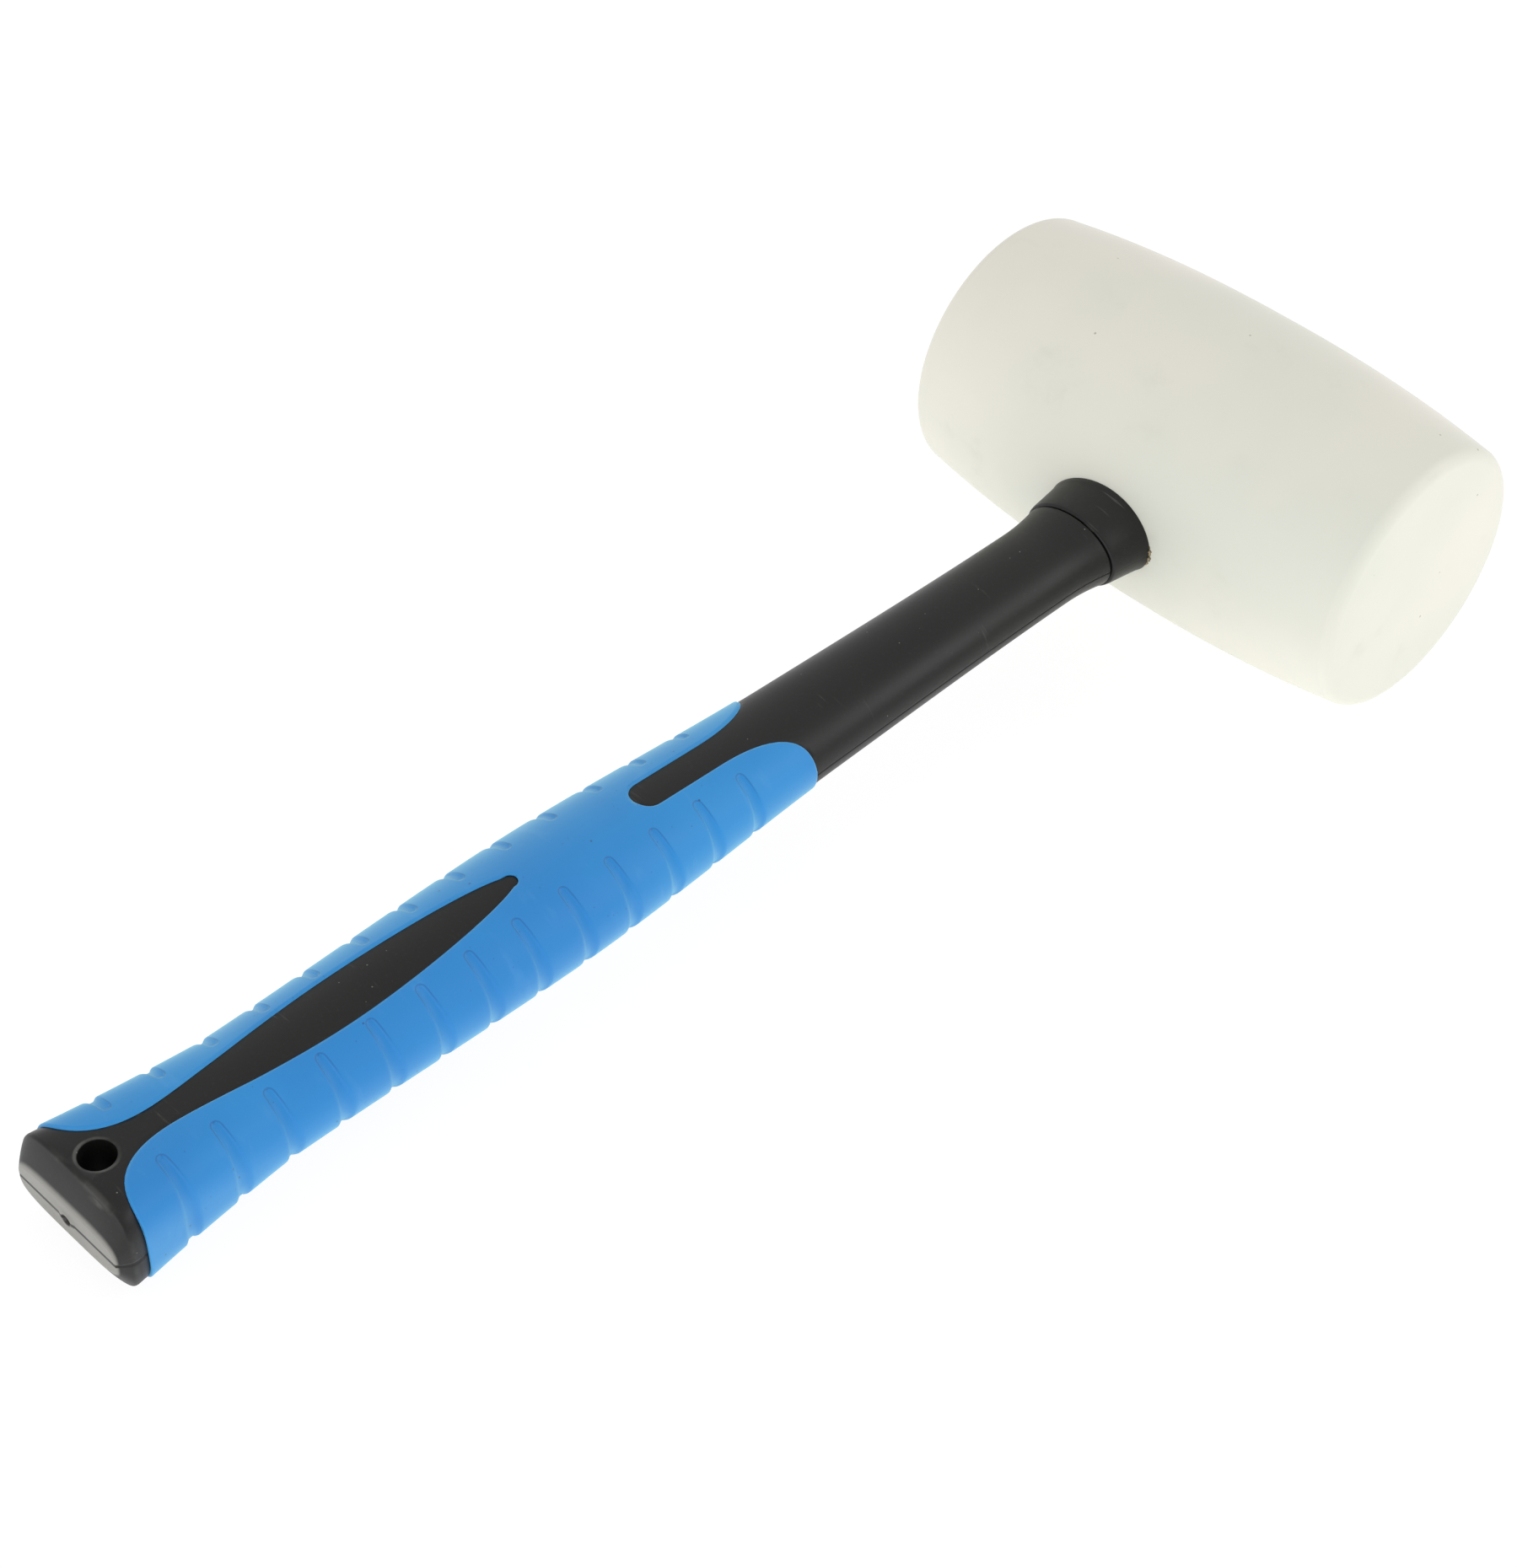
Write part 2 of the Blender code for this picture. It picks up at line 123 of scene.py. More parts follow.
class MALLET_PG_handle(bpy.types.PropertyGroup):
    """Sizes and colours of the jacket, its collar and the core."""

    collar_reach: size("Collar reach", "Where the neck meets the collar", 0.0455)
    collar_foot: size("Collar foot", "Width of the collar at the neck", 0.0252)
    collar_head: size("Collar head", "Width of the collar below the belly", 0.0282)
    neck_top: size("Neck top", "Width of the neck under the collar", 0.0242)
    neck_reach: size("Neck reach", "Where the neck is thinnest", 0.0570)
    neck: size("Neck", "Width of the thinnest neck", 0.0217)
    neck_end_reach: size("Neck end reach", "Where the grip begins to swell", 0.130)
    neck_end: size("Neck end", "Width where the grip begins", 0.0244)
    swell_reach: size("Swell reach", "Where the grip is thickest", 0.203)
    swell: size("Swell", "Width of the grip's swell", 0.0308)
    palm_reach: size("Palm reach", "Where the grip draws in", 0.272)
    palm: size("Palm", "Width where the grip draws in", 0.0285)
    butt_reach: size("Butt reach", "Where the butt is widest", 0.307)
    butt: size("Butt", "Width of the butt", 0.0320)
    end_reach: size("End reach", "Where the end face lies", 0.3108)
    end_width: size("End width", "Width of the end face", 0.0282)
    end_height: size("End height", "Height of the end face", 0.0084)
    flatness: share("Flatness", "Width of the handle over its thickness", 1.42)
    butt_square: share("Butt squareness", "Power of the butt's outline", 3.5)
    tenon_width: size("Tenon width", "Width of the tenon in the head", 0.0186)
    tenon_height: size("Tenon height", "Thickness of the tenon in the head", 0.0148)
    tenon_top: size("Tenon top", "How far the tenon goes past the head's centre", 0.0342)
    rod: size("Rod", "Diameter of the core", 0.010)
    rod_reach: size("Rod reach", "Where the core ends", 0.284)
    hole: size("Hanging hole", "Diameter of the hanging hole", 0.0070)
    hole_reach: size("Hole reach", "Where the hanging hole lies", 0.3026)
    plastic: colour("Plastic", "Black plastic", (0.0046, 0.0046, 0.0042))
    # Colour of the scuffs, and also of the painted highlight and reflection on the butt's edges and the
    # hole's brink
    plastic_worn_and_highlit: colour("Worn and highlit plastic", "Plastic where it is scuffed, and painted highlight on its edges", (0.250, 0.246, 0.226))


class MALLET_PG_grip(bpy.types.PropertyGroup):
    """Sizes and colours of the soft grip."""

    proud: size("Proud", "How far the grip stands above the plastic", 0.00048)
    wall: size("Wall", "How deep the grip lies in the jacket", 0.0017)
    lobe_reach: size("Lobe reach", "Where the grip's front lobes begin", 0.1365)
    slot_width: size("Slot width", "Width of the front window", 0.0074)
    slot_top_reach: size("Slot top", "Where the front window runs straight", 0.1545)
    slot_end_reach: size("Slot end", "Where the front window ends", 0.1752)
    leaf_tip_reach: size("Leaf tip", "Where the rear window begins", 0.2055)
    leaf_nose: size("Leaf nose", "Radius of the rear window's tip", 0.0017)
    leaf_belly_reach: size("Leaf belly reach", "Where the rear window is widest", 0.248)
    leaf_width: size("Leaf width", "Width of the rear window", 0.0120)
    leaf_waist_reach: size("Leaf waist reach", "Where the rear window is narrow again", 0.2895)
    leaf_waist: size("Leaf waist", "Width of the rear window's waist", 0.0058)
    end_reach: size("End reach", "Where the grip ends at the butt", 0.305)
    grooves: count("Grooves", "Number of finger grooves on each side", 13)
    first_groove: size("First groove", "Reach of the first groove", 0.1538)
    groove_pitch: size("Groove pitch", "Distance from groove to groove", 0.01176)
    groove_inset: size("Groove inset", "Distance of a groove's end from the middle", 0.0072)
    groove_end: size("Groove end", "Half width of a groove at its end", 0.00105)
    groove_side: size("Groove side", "Half width of a groove at the side", 0.00175)
    groove_end_depth: size("Groove end depth", "Depth of a groove near its end", 0.00036)
    groove_side_depth: size("Groove side depth", "Depth of a groove at the side", 0.00072)
    rubber: colour("Soft rubber", "Blue soft rubber", (0.004, 0.215, 0.600))
    rubber_pale: colour("Pale soft rubber", "Soft rubber where it is paler", (0.008, 0.248, 0.640))


class MALLET_PG_bond(bpy.types.PropertyGroup):
    """Colours of what shows in the eye of the head."""

    adhesive: colour("Adhesive", "Cured adhesive", (0.40, 0.33, 0.18))
    fibreglass: colour("Fibreglass", "Cut end of the core", (0.62, 0.58, 0.40))


class MALLET_PG_stage(bpy.types.PropertyGroup):
    """Floor, light and camera."""

    floor: colour("Floor", "Pale floor", (0.92, 0.92, 0.92))
    glow: share("Glow", "Light that the floor gives off, as a lit table does", 0.42)
    sky: share("Sky", "Strength of the even light all round", 0.79)
    key: watts("Key", "Power of the key lamp", 1.7)
    fill: watts("Fill", "Power of the fill lamp", 2.8)
    lens: FloatProperty(name="Lens", description="Focal length", default=73.2, min=1.0, unit="CAMERA")


# Helpers for shapes


def smooth_step(start, end, value):
    """0 before start, 1 after end and an even S between."""
    part = min(max((value - start) / (end - start), 0.0), 1.0)
    return part * part * (3 - 2 * part)


def hermite(start, end, start_slope, end_slope, span, part):
    """Cubic from start to end with the given slopes, at a part of its span."""
    square, cube = part**2, part**3
    rise = (3 * square - 2 * cube) * (end - start)
    bends = (cube - 2 * square + part) * start_slope + (cube - square) * end_slope
    return start + rise + bends * span


def rounded(first, corner, last, steps):
    """Sections on a soft bend from first to last that is drawn towards corner."""
    bend = []
    for step in range(steps + 1):
        part = step / steps
        bend.append((1 - part) ** 2 * first + 2 * part * (1 - part) * corner + part**2 * last)
    return bend


class Handle:
    """The handle's outer form, from the sizes in the sidebar."""

    def __init__(self, sizes):
        self.sizes = sizes
        self.knots = [
            (sizes.collar_reach, sizes.neck_top),
            (sizes.neck_reach, sizes.neck),
            (sizes.neck_end_reach, sizes.neck_end),
            (sizes.swell_reach, sizes.swell),
            (sizes.palm_reach, sizes.palm),
            (sizes.butt_reach, sizes.butt),
        ]
        chords = [(w1 - w0) / (r1 - r0) for (r0, w0), (r1, w1) in zip(self.knots, self.knots[1:])]
        self.slopes = [2 * chords[0]]
        for before, after in zip(chords, chords[1:]):
            turning = before * after <= 0
            self.slopes.append(0.0 if turning else 2 * before * after / (before + after))
        self.slopes.append(2 * chords[-1])

    def width(self, reach):
        reach = min(max(reach, self.sizes.collar_reach), self.sizes.butt_reach)
        index = min(bisect_right([knot[0] for knot in self.knots], reach), len(self.knots) - 1) - 1
        (start, width), (end, next_width) = self.knots[index], self.knots[index + 1]
        part = (reach - start) / (end - start)
        return hermite(width, next_width, self.slopes[index], self.slopes[index + 1], end - start, part)

    def squareness(self, reach):
        sizes = self.sizes
        part = (reach - sizes.palm_reach) / (sizes.butt_reach - sizes.palm_reach)
        return 2 + (sizes.butt_square - 2) * min(max(part, 0.0), 1.0)

    def section(self, reach):
        """A section as (reach, half width, half height, power of its outline)."""
        half = self.width(reach) / 2
        return Vector((reach, half, half / self.sizes.flatness, self.squareness(reach)))


def section_point(section, turn, grow=0.0):
    reach, half_width, half_height, power = section
    across, up = math.cos(turn), math.sin(turn)
    x = math.copysign(abs(across) ** (2 / power), across) * (half_width + grow)
    z = math.copysign(abs(up) ** (2 / power), up) * (half_height + grow)
    return Vector((x, -reach, z))


def turn_at(section, x, grow=0.0):
    """Turn at which the upper side of a section is x away from the middle."""
    part = min(max(x / (section[1] + grow), 0.0), 1.0)
    return math.acos(part ** (section[3] / 2))


class Windows:
    """Edges of the grip's windows, as distances from the middle and to the nearest edge."""

    SAMPLES = 160
    NOSE_TAPER = 0.1
    NOSE_LENGTH = 3
    # Lengths of the outline's curve handles, as shares of the stretch that they round
    ROUND_END = 0.55
    LOBE = 0.62
    FLARE = 0.72
    LEAF = 0.42

    def __init__(self, grip, handle):
        front = self.run(self.front_nodes(grip, handle))
        rear = self.run(self.rear_nodes(grip, handle))
        rear = [(max(x, self.nose(grip, reach)), reach) for x, reach in rear]
        self.front = sorted((reach, x) for x, reach in front)
        self.rear = sorted((reach, x) for x, reach in rear)
        self.grip = grip
        outline = front + rear
        for step in range(self.SAMPLES):
            past_side = handle.butt * step / self.SAMPLES
            outline.append((handle.neck_end / 2 + past_side, grip.lobe_reach))
            outline.append((handle.butt / 2 + past_side, grip.end_reach))
        self.tree = KDTree(len(outline))
        for index, (x, reach) in enumerate(outline):
            self.tree.insert((x, reach, 0), index)
        self.tree.balance()

    def front_nodes(self, grip, handle):
        """Half outline of the front window: (x, reach, direction, length of its handles)."""
        half, side = grip.slot_width / 2, handle.neck_end / 2
        return [
            (side, grip.lobe_reach, (-1, 0), (side - half) * self.LOBE),
            (half, grip.slot_top_reach, (0, 1), (grip.slot_top_reach - grip.lobe_reach) * self.LOBE),
            (half, grip.slot_end_reach - half, (0, 1), half * self.ROUND_END),
            (0, grip.slot_end_reach, (-1, 0), half * self.ROUND_END),
        ]

    def rear_nodes(self, grip, handle):
        """Half outline of the rear window, from the butt's flank to the leaf's tip."""
        belly, waist, flank = grip.leaf_width / 2, grip.leaf_waist / 2, handle.butt / 2
        at_waist = (grip.end_reach - grip.leaf_waist_reach) * self.ROUND_END
        at_belly = (grip.leaf_belly_reach - grip.leaf_tip_reach) * self.LEAF
        return [
            (flank, grip.end_reach, (-1, 0), (flank - waist) * self.FLARE),
            (waist, grip.leaf_waist_reach, (0, -1), at_waist),
            (belly, grip.leaf_belly_reach, (0, -1), at_belly),
            (0, grip.leaf_tip_reach, (-1, 0), belly * self.ROUND_END),
        ]

    def nose(self, grip, reach):
        """Half width of the leaf's rounded tip and of the slow taper behind it."""
        from_middle = reach - grip.leaf_tip_reach - grip.leaf_nose
        if from_middle > self.NOSE_LENGTH * grip.leaf_nose:
            return 0.0
        if from_middle > 0:
            return grip.leaf_nose + self.NOSE_TAPER * from_middle
        return math.sqrt(max(grip.leaf_nose**2 - from_middle**2, 0.0))

    def run(self, nodes):
        points = []
        for (x0, r0, way0, reach0), (x1, r1, way1, reach1) in zip(nodes, nodes[1:]):
            start, end = Vector((x0, r0)), Vector((x1, r1))
            leave, arrive = start + Vector(way0) * reach0, end - Vector(way1) * reach1
            for step in range(self.SAMPLES + 1):
                part = step / self.SAMPLES
                rest = 1 - part
                point = rest**3 * start + 3 * rest**2 * part * leave
                point += 3 * rest * part**2 * arrive + part**3 * end
                points.append((max(point.x, 0.0), point.y))
        return points

    @staticmethod
    def look_up(table, reach):
        index = min(max(bisect_right(table, (reach, 1.0)), 1), len(table) - 1)
        (r0, x0), (r1, x1) = table[index - 1], table[index]
        part = 0.0 if r1 == r0 else min(max((reach - r0) / (r1 - r0), 0.0), 1.0)
        return x0 + (x1 - x0) * part

    def edge(self, reach):
        """Distance of the grip's edge from the middle, 0 where the grip closes over the handle."""
        if reach <= self.grip.slot_end_reach:
            return self.look_up(self.front, reach)
        if reach >= self.grip.leaf_tip_reach:
            return self.look_up(self.rear, reach)
        return 0.0

    def depth(self, x, reach):
        """Distance to the nearest edge, more than 0 under the grip and less in a window."""
        distance = self.tree.find((abs(x), reach, 0))[2]
        covered = self.grip.lobe_reach < reach < self.grip.end_reach and abs(x) > self.edge(reach)
        return distance if covered else -distance


def barrel_radius(head, x):
    """Radius of the head's barrel at x."""
    return (head.belly - (head.belly - head.face) * abs(2 * x / head.length) ** head.bulge) / 2


def seat_reach(head, x, z):
    """Reach at which the head's surface lies at x and z."""
    return math.sqrt(barrel_radius(head, x) ** 2 - z**2)


def sheet(rows, columns, place):
    """A grid of quads whose corners go where place(row, column) says."""
    form = bmesh.new()
    bmesh.ops.create_grid(form, x_segments=columns, y_segments=rows, size=1)
    for corner in form.verts:
        column = round((corner.co.x + 1) / 2 * columns)
        row = round((corner.co.y + 1) / 2 * rows)
        corner.co = place(row, column)
    return form


def outline(points):
    """One open chain of edges through the points."""
    form = bmesh.new()
    tip = form.verts.new(points[0])
    for point in points[1:]:
        tip = bmesh.ops.extrude_vert_indiv(form, verts=[tip])["verts"][0]
        tip.co = point
    return form


def turned(form, axis, steps):
    """Turns a chain once round an axis through the origin and closes it."""
    parts = form.verts[:] + form.edges[:]
    bmesh.ops.spin(
        form, geom=parts, axis=axis, cent=(0, 0, 0), angle=math.tau, steps=steps, use_merge=True
    )
    close(form)


def close(form):
    bmesh.ops.remove_doubles(form, verts=form.verts, dist=WELD)
    bmesh.ops.dissolve_degenerate(form, edges=form.edges, dist=WELD / 4)
    bmesh.ops.recalc_face_normals(form, faces=form.faces)


def as_object(name, form):
    mesh = bpy.data.meshes.new(name)
    form.to_mesh(mesh)
    form.free()
    obj = bpy.data.objects.new(name, mesh)
    bpy.context.scene.collection.objects.link(obj)
    return obj


def cut(form, cutter):
    """The form with the cutter's space taken out."""
    body, tool = as_object("cut body", form), as_object("cut tool", cutter)
    modifier = body.modifiers.new("Cut", "BOOLEAN")
    modifier.operation = "DIFFERENCE"
    modifier.solver = "EXACT"
    modifier.object = tool
    evaluated = body.evaluated_get(bpy.context.evaluated_depsgraph_get())
    result = bmesh.new()
    result.from_mesh(evaluated.data)
    for obj in (body, tool):
        mesh = obj.data
        bpy.data.objects.remove(obj)
        bpy.data.meshes.remove(mesh)
    return result


def lying():
    """Centre of the head and tilt of the handle, as the solids lie on the table."""
    handle, head = bpy.context.scene.mallet_handle, bpy.context.scene.mallet_head
    low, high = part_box("head")
    low_height = handle.butt / 2 / handle.flatness
    distance = math.hypot(handle.butt_reach, low_height)
    tilt = math.asin(head.belly / 2 / distance) - math.asin(low_height / distance)
    return (low + high) / 2, tilt


def lay_down(form):
    centre, tilt = lying()
    place = Matrix.Translation(centre) @ Matrix.Rotation(tilt, 4, "X")
    bmesh.ops.transform(form, matrix=place, verts=form.verts)


def finish_piece(name, form, slot, replaced=(), sharp=None):
    """Makes the form a piece of the mallet that rides on its one body."""
    lay_down(form)
    piece = as_object(name, form)
    piece.data.shade_smooth()
    if sharp:
        piece.data.set_sharp_from_angle(angle=math.radians(sharp))
    piece.data.materials.append(finish_of(slot))
    if replaced:
        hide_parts(*replaced)
    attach(piece, "root")


# Helpers for materials


class Number:
    """A shader value. Arithmetic on it adds Math nodes to its graph."""

    def __init__(self, graph, socket):
        self.graph = graph
        self.socket = socket

    def __add__(self, other):
        return self.graph.math("ADD", self, other)

    def __sub__(self, other):
        return self.graph.math("SUBTRACT", self, other)

    def __rsub__(self, other):
        return self.graph.math("SUBTRACT", other, self)

    def __mul__(self, other):
        return self.graph.math("MULTIPLY", self, other)

    __radd__ = __add__
    __rmul__ = __mul__

    def other(self, name):
        """Another output of the same node."""
        return Number(self.graph, self.socket.node.outputs[name])


class Graph:
    """A node tree that is written as expressions."""

    def __init__(self, tree):
        self.tree = tree

    def feed(self, socket, value):
        if isinstance(value, Number):
            self.tree.links.new(value.socket, socket)
        elif socket.type == "RGBA" and len(value) == 3:
            socket.default_value = (*value, 1.0)
        else:
            socket.default_value = value

    def add(self, kind, settings=None, sockets=None, output=0):
        node = self.tree.nodes.new(kind)
        for name, value in (settings or {}).items():
            setattr(node, name, value)
        for name, value in (sockets or {}).items():
            self.feed(node.inputs[name], value)
        return Number(self, node.outputs[output])

    def math(self, operation, first, second=0.0):
        return self.add("ShaderNodeMath", {"operation": operation}, {0: first, 1: second})

    def between(self, value, start, end):
        """0 before start, 1 after end and an even S between."""
        sockets = {"Value": value, "From Min": start, "From Max": end}
        return self.add("ShaderNodeMapRange", {"interpolation_type": "SMOOTHSTEP"}, sockets)

    def band(self, value, start, full, fading, end):
        """Rises from start to full and falls again from fading to end."""
        return self.between(value, start, full) * (1 - self.between(value, fading, end))

    def distance(self, first, second):
        """Length of a way with these two parts at a right angle."""
        return self.math("SQRT", first * first + second * second)

    def axes(self, place):
        """The X, Y and Z of a place."""
        split = self.add("ShaderNodeSeparateXYZ", {}, {"Vector": place})
        return split, split.other("Y"), split.other("Z")

    def blend(self, part, first, second):
        """A colour between two colours."""
        return self.add("ShaderNodeMix", {"data_type": "RGBA"}, {0: part, 6: first, 7: second}, output=2)

    def noise(self, place, scale, detail=3.0, roughness=0.5):
        sockets = {"Vector": place, "Scale": scale, "Detail": detail, "Roughness": roughness}
        return self.add("ShaderNodeTexNoise", {}, sockets)

    def specks(self, place, scale, radius, amount):
        """Scattered round dots: radius in cells, amount as the share of the cells that have one."""
        cells = self.add("ShaderNodeTexVoronoi", {}, {"Vector": place, "Scale": scale})
        chance = self.add("ShaderNodeSeparateColor", {}, {"Color": cells.other("Color")})
        near = 1 - self.between(cells.other("Distance"), radius * 0.6, radius)
        return near * self.between(chance, 1 - amount, 1 - amount + 0.02)

    def bump(self, height, strength, distance, normal=None):
        sockets = {"Height": height, "Strength": strength, "Distance": distance}
        if normal:
            sockets["Normal"] = normal
        return self.add("ShaderNodeBump", {}, sockets)


class Finish(Graph):
    """A procedural material on one Principled shader."""

    def __init__(self, name):
        self.material = bpy.data.materials.new(name)
        self.material.use_nodes = True
        super().__init__(self.material.node_tree)
        self.shader = self.tree.nodes["Principled BSDF"]

    def own_place(self, stretch=(1, 1, 1)):
        """Coordinates in the mallet's own frame."""
        centre, tilt = lying()
        coordinate = self.add("ShaderNodeTexCoord", output="Object")
        sockets = {"Vector": coordinate, "Location": centre, "Rotation": (tilt, 0, 0)}
        own = self.add("ShaderNodeMapping", {"vector_type": "TEXTURE"}, sockets)
        if stretch == (1, 1, 1):
            return own
        return self.add("ShaderNodeMapping", {}, {"Vector": own, "Scale": stretch})

    def set(self, name, value):
        self.feed(self.shader.inputs[name], value)


SMUDGE = (0.50, 0.49, 0.40)
SPECK_ON_WHITE = (0.24, 0.22, 0.15)
GREYER_PLASTIC = (0.0064, 0.0064, 0.0058)
PLASTIC_FILM = (0.150, 0.155, 0.155)
DUST = (0.26, 0.25, 0.22)
PARTING_LINE = (0.0036, 0.0026, 0.0018)
GATE_MARK = (0.0060, 0.0042, 0.0028)
SMEAR_ON_GRIP = (0.16, 0.42, 0.78)
HIGHLIGHT_ON_WINDOW_RIM = (0.060, 0.400, 0.740)
SHADE_IN_GROOVE_CREASE = (0.006, 0.085, 0.300)
SPECK_ON_GRIP = (0.010, 0.060, 0.200)
FINE_SPECK_ON_GRIP = (0.012, 0.080, 0.260)
DARK_ADHESIVE = (0.045, 0.038, 0.022)
BETWEEN_FIBRES = (0.36, 0.33, 0.20)


def white_rubber(finish):
    sizes = bpy.context.scene.mallet_head
    place = finish.own_place()
    cloud = finish.noise(place, 16, 4.0)
    tone = finish.blend(finish.between(cloud, 0.36, 0.66), sizes.rubber, sizes.rubber_dull)
    smudge = finish.between(finish.noise(place, 70, 6.0, 0.6), 0.58, 0.78)
    tone = finish.blend(smudge * 0.16, tone, SMUDGE)
    dots = finish.specks(place, 150, 0.052, 0.34)
    finish.set("Base Color", finish.blend(dots * 0.60, tone, SPECK_ON_WHITE))
    dented = finish.bump(finish.noise(place, 42, 3.0), 0.20, 0.0012)
    finish.set("Normal", finish.bump(finish.noise(place, 1400, 2.0), 0.10, 0.00012, dented))
    finish.set("Roughness", 0.50 + (finish.noise(place, 30, 5.0) - 0.5) * 0.22)
    finish.set("Sheen Weight", 0.12)
    finish.set("Sheen Roughness", 0.35)


def worn_and_highlit_edges(finish, sizes, reach, patches):
    """How far the end of the butt and the ridge above it are painted pale: wear together with a painted
    reflection on the end face and a painted highlight on the ridge.
    """
    end, butt = sizes.end_reach, sizes.butt_reach
    on_end = finish.between(reach, end - 0.0006, end - 0.0001)
    # The ridge band is a painted highlight; the end face's pale paint is wear together with painted
    # reflection.
    on_ridge = finish.band(reach, butt - 0.0001, butt + 0.0007, butt + 0.0010, butt + 0.0016)
    return on_end * (0.74 + patches * 0.40) + on_ridge * finish.between(patches, 0.44, 0.62) * 0.14


def painted_highlight_on_hole_brink(finish, sizes, across, reach, patches):
    """How far the brink of the hanging hole is painted pale, as a painted highlight round its rim."""
    from_hole = finish.distance(across, reach - sizes.hole_reach)
    radius = sizes.hole / 2
    # Painted highlight: a pale ring just outside the hole's edge.
    brink = finish.band(from_hole, radius, radius + 0.0003, radius + 0.0005, radius + 0.0009)
    return brink * finish.between(patches, 0.36, 0.60) * 0.40


def parting_line(finish, sizes, reach, height):
    """1 where the mould's halves met, in a line that is wider on the butt."""
    on_butt = finish.between(reach, sizes.hole_reach - 0.004, sizes.hole_reach)
    from_line = finish.math("ABSOLUTE", height) - on_butt * 0.00028
    return 1 - finish.between(from_line, 0.00008, 0.00022)


def gate_mark(finish, sizes, across, reach, height):
    """1 on the round mark of the mould's gate in the end face."""
    on_end = finish.between(reach, sizes.end_reach - 0.0012, sizes.end_reach - 0.0006)
    from_gate = finish.distance(across, height)
    return on_end * (1 - finish.between(from_gate, 0.0011, 0.0015))


def black_plastic(finish):
    sizes = bpy.context.scene.mallet_handle
    place = finish.own_place()
    across, along, height = finish.axes(place)
    reach = along * -1
    cloud = finish.noise(place, 26, 5.0)
    streaks = finish.noise(finish.own_place((60, 900, 60)), 1.0, 4.0)
    patches = finish.noise(place, 85, 4.0)
    tone = finish.blend(finish.between(cloud, 0.35, 0.70), sizes.plastic, GREYER_PLASTIC)
    scuffs = finish.between(streaks, 0.60, 0.74) * finish.between(patches, 0.56, 0.70)
    # Scuffs are wear. The butt's end, its ridge and the hole's brink are painted pale as well, as
    # painted highlight and reflection.
    worn_and_highlit = finish.math("MAXIMUM", scuffs * 0.30, worn_and_highlit_edges(finish, sizes, reach, patches))
    tone = finish.blend(worn_and_highlit, tone, sizes.plastic_worn_and_highlit)
    tone = finish.blend(painted_highlight_on_hole_brink(finish, sizes, across, reach, patches), tone, sizes.plastic_worn_and_highlit)
    film = finish.between(finish.noise(place, 1500, 3.0, 0.7), 0.54, 0.74)
    tone = finish.blend(film * 0.04, tone, PLASTIC_FILM)
    tone = finish.blend(finish.specks(place, 420, 0.080, 0.30) * 0.55, tone, DUST)
    seam = parting_line(finish, sizes, reach, height)
    tone = finish.blend(seam * 0.96, tone, PARTING_LINE)
    gate = gate_mark(finish, sizes, across, reach, height)
    finish.set("Base Color", finish.blend(gate * 0.85, tone, GATE_MARK))
    finish.set("Specular IOR Level", 0.36)
    finish.set("Roughness", 0.42 + (cloud - 0.5) * 0.20 + scuffs * 0.15)
    grain = finish.noise(place, 1100, 3.0)
    finish.set("Normal", finish.bump(grain - seam * 2.0, 0.10, 0.00010))


def groove_crease_shade(finish, sizes, place):
    """1 on the U-shaped outline of each finger groove, which fades towards the handle's side. The blue
    is darkened there as painted shade in the crease, and the same line is bumped.
    """
    across, along, _ = finish.axes(place)
    number = (along * -1 - sizes.first_groove) * (1 / sizes.groove_pitch) + 0.5
    from_middle = (finish.math("FRACT", number) - 0.5) * sizes.groove_pitch
    inside = finish.math("ABSOLUTE", across) - sizes.groove_inset
    before_end = finish.math("MAXIMUM", sizes.groove_end - inside)
    past_end = finish.math("MAXIMUM", inside - sizes.groove_end)
    half = sizes.groove_end + past_end * 0.06
    from_line = finish.math("ABSOLUTE", finish.distance(before_end, from_middle) - half)
    line = 1 - finish.between(from_line, 0.00004, 0.00020)
    counted = finish.band(number, 0.0, 0.02, sizes.grooves - 0.02, sizes.grooves)
    return line * counted * (1 - finish.between(inside, 0.0016, 0.0064))


